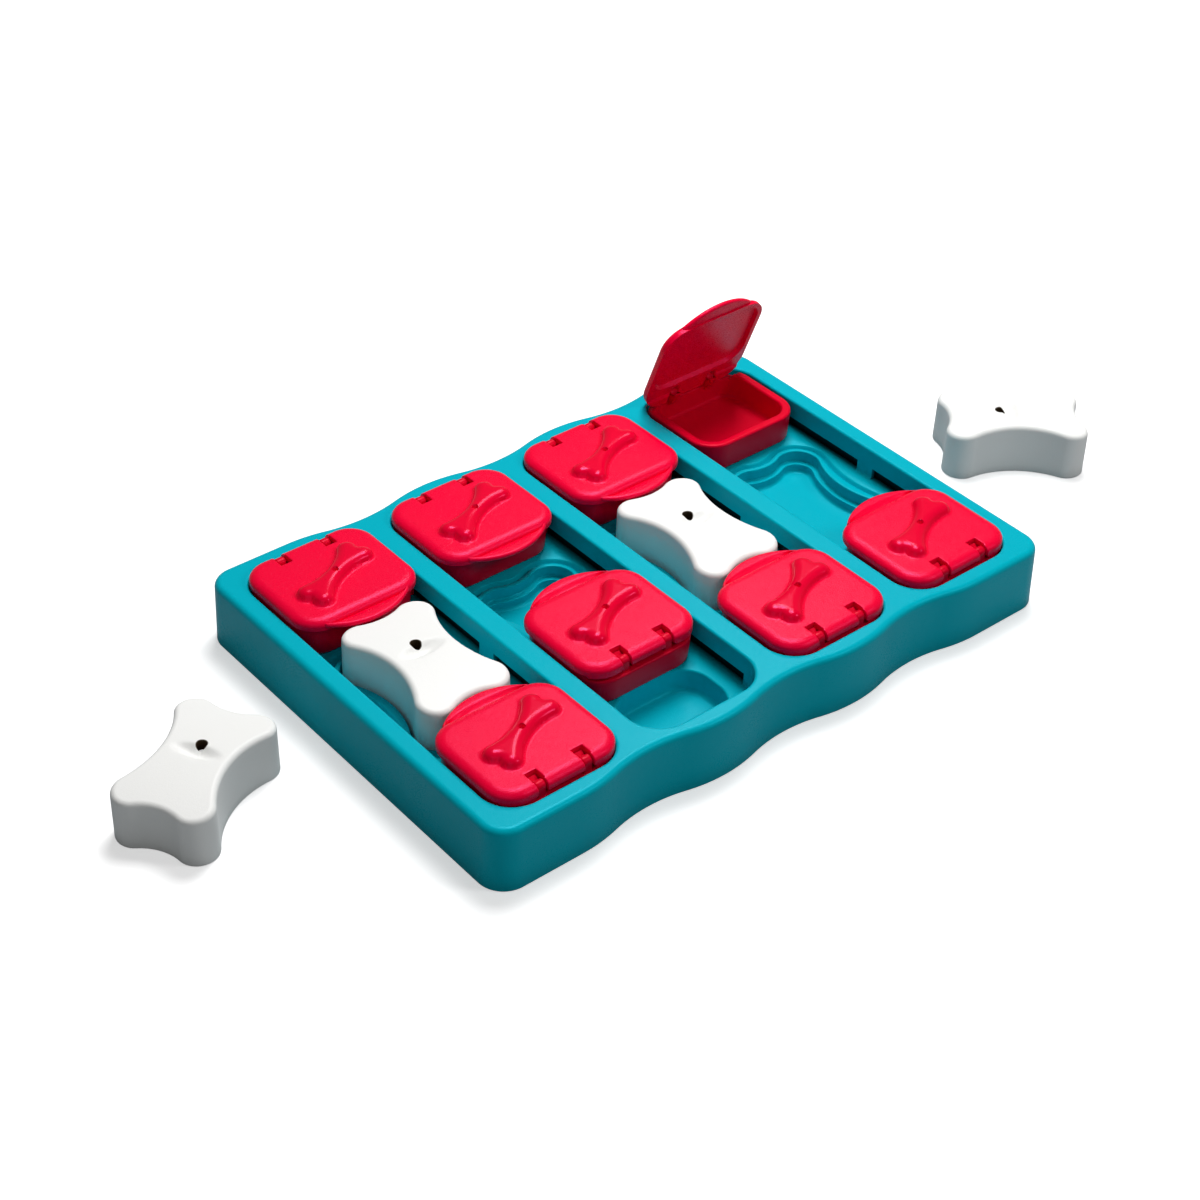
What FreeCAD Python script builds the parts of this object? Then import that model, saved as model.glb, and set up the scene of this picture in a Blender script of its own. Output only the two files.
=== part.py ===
import FreeCAD, Part
import math
import os
import Sketcher

# A puzzle feeder for dogs: a moulded tray with four lanes. Each lane holds two lidded boxes
# that slide on side tabs, and a bone shaped block that plugs into a well between them.
# The origin is the bottom centre of the tray, X runs across the lanes, Y along them, Z up.

doc = FreeCAD.newDocument("puzzle_feeder")
dims = doc.addObject("Spreadsheet::Sheet", "dims")
SIZES = {
    # Tray moulding
    "tray_half_length": 160.7,
    "tray_bulge_half": 108.6,
    "tray_wave_depth": 5.0,
    "tray_height": 32.0,
    "tray_corner": 13.0,
    "tray_draft": 1.9,
    "tray_top_round": 3.0,
    "tray_wall": 2.6,
    "lane_count": 4,
    "lane_pitch": 77.6,
    "lane_width": 65.9,
    "lane_length": 196.8,
    "lane_corner": 16.0,
    "lane_bevel": 1.0,
    "lane_floor": 16.4,
    "slot_height": 5.9,
    "slot_bridge": 10.0,
    "slot_end": 88.0,
    "slot_reach": 2.6,
    # Wells sunk into each lane's floor
    "well_floor": 6.0,
    "well_clearance": 1.3,
    "well_ledge": 10.4,
    "ledge_width": 2.8,
    "ridge_width": 2.0,
    "groove_width": 3.2,
    "groove_fill": 2.0,
    "groove_depth": 2.0,
    "groove_slope": 14.0,
    "end_well_width": 48.0,
    "end_well_near": 56.0,
    "end_well_far": 91.0,
    "end_well_corner": 14.0,
    "well_slope": 8.0,
    # Sliding box
    "box_side_gap": 1.7,
    "box_length": 53.9,
    "box_end_gap": 0.65,
    "box_corner": 14.0,
    "box_draft": 2.5,
    "box_lift": 0.3,
    "box_rim": 4.6,
    "box_floor_wall": 2.0,
    "box_rim_round": 1.2,
    "box_foot_round": 1.6,
    "tab_reach": 1.9,
    "tab_height": 4.4,
    "tab_length": 30.0,
    "tab_setback": 1.2,
    "slide_travel": 40.0,
    # Hinge at the box's outer end
    "hinge_inset": 4.15,
    "hinge_above_rim": 1.6,
    "pin_radius": 1.3,
    "pin_fit": 0.06,
    "hook_radius": 2.5,
    "hook_width": 4.2,
    "hook_spread": 12.0,
    "hinge_relief": 4.2,
    "lid_open_angle": 70.0,
    # Lid
    "lid_gap": 0.3,
    "lid_side_gap": 0.85,
    "lid_plate": 4.8,
    "lid_front": 42.0,
    "lid_rear_overhang": 3.5,
    "lid_corner": 13.0,
    "lid_edge_round": 2.5,
    "lid_skirt": 3.0,
    "lid_recess": 2.0,
    "window_size": 6.2,
    "hook_slot": 5.0,
    "lip_half_width": 22.0,
    "lip_projection": 8.0,
    "lip_drop": 1.5,
    "lip_thickness": 2.5,
    "lip_round": 1.0,
    "lip_root": 4.0,
    "emblem_half": 17.8,
    "emblem_lobe": 4.8,
    "emblem_spread": 3.9,
    "emblem_waist": 4.3,
    "emblem_end": 21.2,
    "emblem_height": 2.7,
    "emblem_root": 0.4,
    "emblem_round": 1.5,
    "emblem_turn": -63.4,
    "emblem_forward": 2.5,
    "dimple_radius": 1.1,
    "dimple_depth": 1.2,
    # Bone shaped block
    "bone_lobe_side": 14.0,
    "bone_lobe_end": 26.6,
    "bone_lobe": 9.0,
    "bone_waist": 16.0,
    "bone_end": 32.4,
    "bone_height": 24.1,
    "bone_crown": 2.5,
    "bone_flare": 0.3,
    "bone_top_round": 2.6,
    "bone_wall": 2.4,
    "bone_roof": 3.0,
    "grip_half": 12.0,
    "grip_depth": 3.4,
    "grip_side": 3.8,
    "grip_offset": 2.9,
    "scent_radius": 2.3,
    "scent_offset": 6.7,
    "seat_gap": 0.2,
    # Where the two loose blocks stand on the floor beside the tray
    "loose_left_across": -222.9,
    "loose_left_along": 14.6,
    "loose_left_turn": -60.0,
    "loose_right_across": 239.0,
    "loose_right_along": -15.0,
    "loose_right_turn": 53.0,
    # How far a cutting sketch stands past the face that it cuts
    "cut_over": 1.0,
}
for row, (alias, value) in enumerate(SIZES.items(), start=1):
    dims.set(f"A{row}", alias)
    dims.set(f"B{row}", str(value))
    dims.setAlias(f"B{row}", alias)
doc.recompute()


def size(alias):
    """The number that a cell of the sheet holds."""
    return float(dims.get(alias))


def cells(text):
    """Turn plain words in a formula into references to the sheet's cells."""
    for alias in sorted(SIZES, key=len, reverse=True):
        text = text.replace(f"[{alias}]", f"<<dims>>.{alias}")
    return text


def number(text):
    """The value of the same formula, for a sketch's first shape."""
    return float(dims.evalExpression(cells(text)))


# Formulas that several pieces share
LANE_HALF = "[lane_width] / 2"
LANE_END = "[lane_length] / 2"
BOX_HALF = "[lane_width] / 2 - [box_side_gap]"
BOX_OUTER = "[lane_length] / 2 - [box_end_gap]"
BOX_INNER = "[lane_length] / 2 - [box_end_gap] - [box_length]"
BOX_FOOT = "[lane_floor] + [box_lift]"
HINGE_ALONG = "[lane_length] / 2 - [box_end_gap] - [hinge_inset]"
HINGE_UP = "[tray_height] + [hinge_above_rim]"


def bind(item, prop, text):
    """Tie a property to a formula of the sheet's cells."""
    item.setExpression(prop, cells(text))


class Outline:
    """A sketch of arcs and lines whose every size is a formula of the sheet's cells."""

    def __init__(self, body, name, plane="XY_Plane", up="0", across="0", turn="0"):
        self.sketch = body.newObject("Sketcher::SketchObject", name)
        base = [f for f in body.Origin.OriginFeatures if f.Role == plane][0]
        self.sketch.AttachmentSupport = [(base, "")]
        self.sketch.MapMode = "FlatFace"
        bind(self.sketch, "AttachmentOffset.Base.x", across)
        bind(self.sketch, "AttachmentOffset.Base.z", up)
        if turn != "0":
            bind(self.sketch, "AttachmentOffset.Rotation.Yaw", turn)
        self.shapes = []
        self.rules = []
        self.formulas = []

    def finish(self):
        """Hand the collected shapes and rules to the sketch in one go."""
        self.sketch.addGeometry(self.shapes)
        self.sketch.addConstraint(self.rules)
        for index, text in self.formulas:
            bind(self.sketch, f"Constraints[{index}]", text)
        self.sketch.Visibility = False
        return self.sketch

    def rule(self, kind, *places):
        self.rules.append(Sketcher.Constraint(kind, *places))

    def hold(self, text, kind, *places):
        """Add one distance or radius and tie it to its formula."""
        value = number(text)
        if kind in ("DistanceX", "DistanceY"):
            if abs(value) < 1e-9:
                axis = -2 if kind == "DistanceX" else -1
                self.rule("PointOnObject", places[2], places[3], axis)
                return
            if value < 0:
                places = places[2:] + places[:2]
                text, value = f"-({text})", -value
        self.formulas.append((len(self.rules), text))
        self.rule(kind, *places, value)

    def place(self, geo, point, across, along):
        """Fix one point of the sketch by its distances from the origin."""
        self.hold(across, "DistanceX", -1, 1, geo, point)
        self.hold(along, "DistanceY", -1, 1, geo, point)

    def arc(self, x, y, radius, start, stop):
        ring = Part.Circle(FreeCAD.Vector(x, y, 0), FreeCAD.Vector(0, 0, 1), radius)
        self.shapes.append(Part.ArcOfCircle(ring, start, stop))
        return len(self.shapes) - 1

    def line(self, x0, y0, x1, y1):
        self.shapes.append(Part.LineSegment(FreeCAD.Vector(x0, y0, 0), FreeCAD.Vector(x1, y1, 0)))
        return len(self.shapes) - 1

    def circle(self, across, along, radius):
        centre = FreeCAD.Vector(number(across), number(along), 0)
        self.shapes.append(Part.Circle(centre, FreeCAD.Vector(0, 0, 1), number(radius)))
        geo = len(self.shapes) - 1
        self.place(geo, 3, across, along)
        self.hold(radius, "Radius", geo)

    def rectangle(self, left, right, low, high):
        """A plain rectangle between four formulas."""
        x0, x1, y0, y1 = number(left), number(right), number(low), number(high)
        corners = ((x0, y0), (x1, y0), (x1, y1), (x0, y1))
        first = len(self.shapes)
        for i in range(4):
            self.line(*corners[i], *corners[(i + 1) % 4])
        for i in range(4):
            self.rule("Coincident", first + i, 2, first + (i + 1) % 4, 1)
            self.rule("Horizontal" if i % 2 == 0 else "Vertical", first + i)
        self.place(first, 1, left, low)
        self.place(first + 2, 1, right, high)

    def rounded(self, left, right, low, high, radius):
        """A rectangle between four formulas, with round corners."""
        x0, x1, y0, y1 = number(left), number(right), number(low), number(high)
        rad = number(radius)
        centres = ((x1 - rad, y1 - rad), (x0 + rad, y1 - rad), (x0 + rad, y0 + rad),
                   (x1 - rad, y0 + rad))
        first = len(self.shapes)
        for quarter, (x, y) in enumerate(centres):
            start = quarter * math.pi / 2
            stop = start + math.pi / 2
            self.arc(x, y, rad, start, stop)
            ahead = centres[(quarter + 1) % 4]
            dx, dy = rad * math.cos(stop), rad * math.sin(stop)
            self.line(x + dx, y + dy, ahead[0] + dx, ahead[1] + dy)
        for i in range(8):
            self.rule("Tangent", first + i, 2, first + (i + 1) % 8, 1)
        self.rule("Horizontal", first + 1)
        self.rule("Vertical", first + 3)
        for corner in (0, 2, 4, 6):
            self.hold(radius, "Radius", first + corner)
        self.place(first, 3, f"({right}) - ({radius})", f"({high}) - ({radius})")
        self.place(first + 4, 3, f"({left}) + ({radius})", f"({low}) + ({radius})")

    def bone(self, side, end, lobe, waist, tip, grow="0"):
        """A bone outline: four round lobes joined by two hollow sides and two hollow ends."""
        dent = f"(({waist}) - ({side}))"
        bay = f"(({tip}) - ({end}))"
        lobe_arc = f"(({lobe}) + ({grow}))"
        side_arc = (f"(({dent} * {dent} + ({end}) * ({end}) - ({lobe}) * ({lobe}))"
                    f" / (2 * (({lobe}) - {dent})) - ({grow}))")
        end_arc = (f"(({bay} * {bay} + ({side}) * ({side}) - ({lobe}) * ({lobe}))"
                   f" / (2 * (({lobe}) - {bay})) - ({grow}))")
        lobe_r, side_r, end_r = number(lobe_arc), number(side_arc), number(end_arc)
        x, y = number(side), number(end)
        far_x = number(f"({waist}) + ({grow})") + side_r
        far_y = number(f"({tip}) + ({grow})") + end_r
        lean = math.atan2(y, far_x - x)
        rise = math.atan2(far_y - y, x)
        turn = math.pi
        first = len(self.shapes)
        self.arc(x, y, lobe_r, -lean, turn - rise)
        self.arc(0, far_y, end_r, -turn + rise, -rise)
        self.arc(-x, y, lobe_r, rise, turn + lean)
        self.arc(-far_x, 0, side_r, -lean, lean)
        self.arc(-x, -y, lobe_r, turn - lean, 2 * turn - rise)
        self.arc(0, -far_y, end_r, rise, turn - rise)
        self.arc(x, -y, lobe_r, turn + rise, 2 * turn + lean)
        self.arc(far_x, 0, side_r, turn - lean, turn + lean)
        # A lobe is walked forwards and a hollow backwards, so their ends meet in turn
        for at in (0, 2, 4, 6):
            self.rule("Tangent", first + at, 2, first + at + 1, 2)
            self.rule("Tangent", first + at + 1, 1, first + (at + 2) % 8, 1)
        lobes = ((0, side, end), (2, f"-({side})", end), (4, f"-({side})", f"-({end})"),
                 (6, side, f"-({end})"))
        for at, across, along in lobes:
            self.hold(lobe_arc, "Radius", first + at)
            self.place(first + at, 3, across, along)
        for at, radius in ((1, end_arc), (3, side_arc), (5, end_arc), (7, side_arc)):
            self.hold(radius, "Radius", first + at)

    def stem_ring(self, along, up, radius, foot):
        """A hook's side view: a round eye on a straight stem."""
        y, z, rad, low = number(along), number(up), number(radius), number(foot)
        self.arc(y, z, rad, 0, math.pi)
        self.line(y - rad, z, y - rad, low)
        self.line(y - rad, low, y + rad, low)
        self.line(y + rad, low, y + rad, z)
        self.rule("Tangent", 0, 2, 1, 1)
        self.rule("Coincident", 1, 2, 2, 1)
        self.rule("Coincident", 2, 2, 3, 1)
        self.rule("Tangent", 3, 2, 0, 1)
        self.rule("Vertical", 1)
        self.rule("Horizontal", 2)
        self.place(0, 3, along, up)
        self.hold(radius, "Radius", 0)
        self.hold(foot, "DistanceY", -1, 1, 2, 1)

    def bow(self, half, base, rise, tail):
        """A lip's plan: a shallow arc that bulges past a straight base line."""
        w, y, b, t = number(half), number(base), number(rise), number(tail)
        rad = (w * w + b * b) / (2 * b)
        radius = f"(({half}) * ({half}) + ({rise}) * ({rise})) / (2 * ({rise}))"
        lean = math.asin(w / rad)
        self.arc(0, y - b + rad, rad, 1.5 * math.pi - lean, 1.5 * math.pi + lean)
        self.line(w, y, w, y + t)
        self.line(w, y + t, -w, y + t)
        self.line(-w, y + t, -w, y)
        self.rule("Coincident", 0, 2, 1, 1)
        self.rule("Coincident", 1, 2, 2, 1)
        self.rule("Coincident", 2, 2, 3, 1)
        self.rule("Coincident", 3, 2, 0, 1)
        self.rule("Horizontal", 2)
        self.rule("Vertical", 3)
        self.rule("Vertical", 1)
        self.hold(radius, "Radius", 0)
        self.place(1, 1, half, base)
        self.place(3, 2, f"-({half})", base)
        self.hold(f"{base} + {tail}", "DistanceY", -1, 1, 2, 1)

    def crown(self, reach, edge, rise):
        """The air above a crowned top, cut through from side to side."""
        w, z, b = number(reach), number(edge), number(rise)
        rad = (w * w + b * b) / (2 * b)
        radius = f"(({reach}) * ({reach}) + ({rise}) * ({rise})) / (2 * ({rise}))"
        lean = math.asin(2 * w / rad)
        low = z + b - rad + math.sqrt(rad * rad - 4 * w * w)
        self.arc(0, z + b - rad, rad, math.pi / 2 - lean, math.pi / 2 + lean)
        high = z + 3 * b
        self.line(-2 * w, low, -2 * w, high)
        self.line(-2 * w, high, 2 * w, high)
        self.line(2 * w, high, 2 * w, low)
        self.rule("Coincident", 0, 2, 1, 1)
        self.rule("Coincident", 1, 2, 2, 1)
        self.rule("Coincident", 2, 2, 3, 1)
        self.rule("Coincident", 3, 2, 0, 1)
        self.rule("Vertical", 1)
        self.rule("Horizontal", 2)
        self.rule("Vertical", 3)
        self.place(0, 3, "0", f"({edge}) + ({rise}) - ({radius})")
        self.hold(radius, "Radius", 0)
        self.place(2, 2, f"2 * ({reach})", f"({edge}) + 3 * ({rise})")
        self.hold(f"-2 * ({reach})", "DistanceX", -1, 1, 2, 1)

    def waves(self, inset):
        """The tray's outline: long sides swell at each lane and dip at each rib."""
        half = "([lane_pitch] / 2)"
        depth = "[tray_wave_depth]"
        wave = f"(({half} * {half} + {depth} * {depth}) / (4 * {depth}))"
        bulge = number(f"[tray_bulge_half] - ({inset})")
        swell, dip = number(f"{wave} - ({inset})"), number(f"{wave} + ({inset})")
        corner = number(f"[tray_corner] - ({inset})")
        wall = number(f"[tray_half_length] - ({inset})")
        lanes = int(size("lane_count"))
        lean = math.asin(size("lane_pitch") / 2 / (2 * number(wave)))
        last = size("lane_pitch") * (lanes - 1) / 2
        chain = []
        for sign, start in ((1, 0.0), (-1, math.pi)):
            quarter = start + math.pi / 2
            formula_sign = "" if sign > 0 else "-"
            reach = f"([tray_half_length] - [tray_corner])"
            lift = f"([tray_bulge_half] - [tray_corner])"
            swell_up = f"{formula_sign}([tray_bulge_half] - {wave})"
            dip_up = f"{formula_sign}([tray_bulge_half] - {depth} + {wave})"
            x, y = sign * (wall - corner), sign * (bulge - corner)
            geo = self.arc(x, y, corner, start, quarter)
            self.hold(f"[tray_corner] - ({inset})", "Radius", geo)
            self.place(geo, 3, formula_sign + reach, formula_sign + lift)
            chain.append((geo, 1, 2))
            chain.append((self.line(x, sign * bulge, sign * last, sign * bulge), 1, 2))
            for step in range(2 * lanes - 1):
                across = f"{formula_sign}([lane_pitch] * {(lanes - 1 - step) / 2})"
                x = number(across)
                if step % 2 == 0:
                    low = quarter if step == 0 else quarter - lean
                    high = quarter if step == 2 * lanes - 2 else quarter + lean
                    geo = self.arc(x, sign * (bulge - swell), swell, low, high)
                    chain.append((geo, 1, 2))
                else:
                    low, high = quarter + math.pi - lean, quarter + math.pi + lean
                    geo = self.arc(x, sign * (bulge - size("tray_wave_depth") + dip), dip, low, high)
                    chain.append((geo, 2, 1))
                self.place(geo, 3, across, swell_up if step % 2 == 0 else dip_up)
                if step == lanes - 1:
                    radius = f"{wave} - ({inset})" if step % 2 == 0 else f"{wave} + ({inset})"
                    self.hold(radius, "Radius", geo)
            far = -sign * (wall - corner)
            chain.append((self.line(-sign * last, sign * bulge, far, sign * bulge), 1, 2))
            geo = self.arc(far, sign * (bulge - corner), corner, quarter, quarter + math.pi / 2)
            self.hold(f"[tray_corner] - ({inset})", "Radius", geo)
            back = "-" if sign > 0 else ""
            self.place(geo, 3, back + reach, formula_sign + lift)
            chain.append((geo, 1, 2))
            x = -sign * wall
            chain.append((self.line(x, sign * (bulge - corner), x, -sign * (bulge - corner)), 1, 2))
        for (geo, _, tail), (after, head, _) in zip(chain, chain[1:] + chain[:1]):
            self.rule("Tangent", geo, tail, after, head)


def pad(body, outline, name, length, down=False, both=False, draft=None):
    feature = body.newObject("PartDesign::Pad", name)
    feature.Profile = outline.finish()
    bind(feature, "Length", length)
    feature.Reversed = down
    feature.Midplane = both
    if draft is not None:
        bind(feature, "TaperAngle", draft)
    return feature


def pocket(body, outline, name, depth, up=False, both=False, draft=None):
    feature = body.newObject("PartDesign::Pocket", name)
    feature.Profile = outline.finish()
    bind(feature, "Length", depth)
    feature.Reversed = up
    feature.Midplane = both
    if draft is not None:
        bind(feature, "TaperAngle", draft)
    return feature


def edges_of(feature, test):
    """Names of the edges of a feature's shape whose middle and length pass the test."""
    found = []
    for index, edge in enumerate(feature.Shape.Edges, start=1):
        middle = edge.valueAt((edge.FirstParameter + edge.LastParameter) / 2)
        box = edge.BoundBox
        if test(middle, box):
            found.append(f"Edge{index}")
    return found


def fillet(body, base, name, radius, test):
    doc.recompute()
    names = edges_of(base, test)
    feature = body.newObject("PartDesign::Fillet", name)
    feature.Base = (base, names)
    bind(feature, "Radius", radius)
    return feature


def new_body(label):
    body = doc.addObject("PartDesign::Body", label)
    body.Label = label
    return body


def level(box, height):
    """True where an edge lies flat at one height."""
    return abs(box.ZMin - height) < 0.01 and abs(box.ZMax - height) < 0.01


BONE = ("[bone_lobe_side]", "[bone_lobe_end]", "[bone_lobe]", "[bone_waist]", "[bone_end]")
# The block's side flares towards its foot, and the well leaves a clearance round it
WELL_GROW = "([bone_flare] + [well_clearance])"
RIDGE_GROW = f"{WELL_GROW} + [ridge_width]"
# The groove round the well is a bone outline with a fuller waist
GROOVE = BONE[:3] + ("([bone_waist] + [groove_fill])",) + BONE[4:]


def build_tray():
    """One moulding, open below, with even walls under its lanes and wells."""
    body = new_body("tray")
    lanes = int(size("lane_count"))
    first_lane = f"-[lane_pitch] * {(lanes - 1) / 2}"

    def shape(name, up="0"):
        return Outline(body, name, up=up, across=first_lane)

    def lane_rect(outline, grow):
        outline.rounded(f"-{LANE_HALF} - {grow}", f"{LANE_HALF} + {grow}", f"-{LANE_END} - {grow}",
                        f"{LANE_END} + {grow}", f"[lane_corner] + {grow}")

    def end_wells(outline, grow):
        for low, high in (("[end_well_near]", "[end_well_far]"),
                          ("-[end_well_far]", "-[end_well_near]")):
            outline.rounded(f"-[end_well_width] / 2 - {grow}", f"[end_well_width] / 2 + {grow}",
                            f"{low} - {grow}", f"{high} + {grow}", f"[end_well_corner] + {grow}")

    outer = Outline(body, "tray_outline")
    outer.waves("0")
    block = pad(body, outer, "tray_block", "[tray_height]", draft="-[tray_draft]")
    top = size("tray_height")
    fillet(body, block, "tray_top_edge", "[tray_top_round]", lambda middle, box: level(box, top))
    inner = Outline(body, "underside_outline")
    inner.waves("[tray_wall]")
    pocket(body, inner, "underside", "[tray_height] - [tray_wall]", up=True, draft="-[tray_draft]")

    # Each lane is a tub hung from the top, with smaller tubs hung from its floor
    parts = []
    tub = shape("lane_tub_outline", "[lane_floor] - [tray_wall]")
    lane_rect(tub, "[tray_wall]")
    parts.append(pad(body, tub, "lane_tub", "[tray_height] - [lane_floor] + [tray_wall] / 2"))
    well_bottom = "[well_floor] - [tray_wall]"
    tub = shape("end_tub_outline", well_bottom)
    end_wells(tub, "[tray_wall]")
    parts.append(pad(body, tub, "end_tubs", "[lane_floor] - [well_floor]"))
    tub = shape("bone_tub_outline", well_bottom)
    tub.bone(*BONE, f"{WELL_GROW} + [tray_wall]")
    parts.append(pad(body, tub, "bone_tub", "[lane_floor] - [well_floor]"))
    rim = shape("groove_tub_outline", "[lane_floor] - [groove_depth] - [tray_wall]")
    rim.bone(*GROOVE, f"{RIDGE_GROW} + [groove_width]")
    parts.append(pad(body, rim, "groove_tub", "[tray_wall]"))

    lane = shape("lane_outline", "[tray_height]")
    lane_rect(lane, "0")
    parts.append(pocket(body, lane, "lane", "[tray_height] - [lane_floor]"))
    brim = shape("lane_brim_outline", "[tray_height]")
    lane_rect(brim, "[lane_bevel]")
    parts.append(pocket(body, brim, "lane_brim", "[lane_bevel]", draft="-45"))
    slots = shape("slot_outline", "[lane_floor]")
    reach = f"{LANE_HALF} + [tray_wall] + [slot_reach]"
    for low, high in (("[slot_bridge] / 2", "[slot_end]"), ("-[slot_end]", "-[slot_bridge] / 2")):
        for left, right in ((f"-({reach})", f"-{LANE_HALF} + [cut_over]"),
                            (f"{LANE_HALF} - [cut_over]", reach)):
            slots.rectangle(left, right, low, high)
    parts.append(pocket(body, slots, "slots", "[slot_height]", up=True))
    mouth = shape("bone_well_mouth_outline", "[lane_floor]")
    mouth.bone(*BONE, WELL_GROW)
    parts.append(pocket(body, mouth, "bone_well_mouth", "[lane_floor] - [well_ledge]"))
    well = shape("bone_well_outline", "[well_ledge]")
    well.bone(*BONE, f"{WELL_GROW} - [ledge_width]")
    parts.append(pocket(body, well, "bone_well", "[well_ledge] - [well_floor]"))
    ring = shape("groove_outline", "[lane_floor]")
    ring.bone(*GROOVE, RIDGE_GROW)
    ring.bone(*GROOVE, f"{RIDGE_GROW} + [groove_width]")
    parts.append(pocket(body, ring, "groove", "[groove_depth]", draft="-[groove_slope]"))
    ends = shape("end_well_outline", "[lane_floor]")
    end_wells(ends, "0")
    parts.append(pocket(body, ends, "end_wells", "[lane_floor] - [well_floor]",
                        draft="-[well_slope]"))

    row = body.newObject("PartDesign::LinearPattern", "lane_row")
    row.Originals = parts
    row.Direction = (lane.sketch, ["H_Axis"])
    bind(row, "Length", f"[lane_pitch] * {lanes - 1}")
    row.Occurrences = lanes
    body.Tip = row
    doc.recompute()
    return body


def build_box(label):
    """A drawer cup with side tabs, a lowered rear wall and two hinge hooks."""
    body = new_body(label)
    rim = Outline(body, "rim_outline", up="[tray_height]")
    rim.rounded(f"-({BOX_HALF})", BOX_HALF, BOX_INNER, BOX_OUTER, "[box_corner]")
    height = f"[tray_height] - ({BOX_FOOT})"
    block = pad(body, rim, "box_block", height, down=True, draft="-[box_draft]")
    room = Outline(body, "room_outline", up="[tray_height]")
    wall = "[box_rim]"
    room.rounded(f"-({BOX_HALF}) + {wall}", f"{BOX_HALF} - {wall}", f"{BOX_INNER} + {wall}",
                 f"{BOX_OUTER} - {wall}", f"[box_corner] - {wall}")
    cup = pocket(body, room, "box_room", f"{height} - [box_floor_wall]", draft="-[box_draft]")
    foot = number(BOX_FOOT)
    rounded = fillet(body, cup, "box_foot_edge", "[box_foot_round]",
                     lambda middle, box: level(box, foot))
    top = size("tray_height")
    fillet(body, rounded, "box_rim_edges", "[box_rim_round]",
           lambda middle, box: level(box, top))

    back = Outline(body, "rear_drop_outline", up="[tray_height] + [cut_over]")
    back.rectangle(f"-{LANE_HALF}", LANE_HALF, f"{HINGE_ALONG} - [hinge_relief]", LANE_END)
    pocket(body, back, "rear_drop", "[cut_over] - [hinge_above_rim] + [hinge_relief]")

    tabs = Outline(body, "tab_outline", up=BOX_FOOT)
    near = f"{BOX_INNER} + [tab_setback]"
    reach = "[lane_width] / 2 + [tab_reach]"
    for left, right in ((f"-({reach})", f"-({BOX_HALF}) + {wall} / 2"),
                        (f"{BOX_HALF} - {wall} / 2", reach)):
        tabs.rectangle(left, right, near, f"{near} + [tab_length]")
    pad(body, tabs, "side_tabs", "[tab_height]")

    for sign, name in (("", "right"), ("-", "left")):
        hook = Outline(body, f"{name}_hook_outline", plane="YZ_Plane", up=f"{sign}[hook_spread]")
        hook.stem_ring(HINGE_ALONG, HINGE_UP, "[hook_radius]",
                       f"{BOX_FOOT} + [box_floor_wall]")
        pad(body, hook, f"{name}_hook", "[hook_width]", both=True)
        bore = Outline(body, f"{name}_bore_outline", plane="YZ_Plane", up=f"{sign}[hook_spread]")
        bore.circle(HINGE_ALONG, HINGE_UP, "[pin_radius] + [pin_fit]")
        pocket(body, bore, f"{name}_bore", "[hook_width] + [cut_over]", both=True)
    doc.recompute()
    return body


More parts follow.
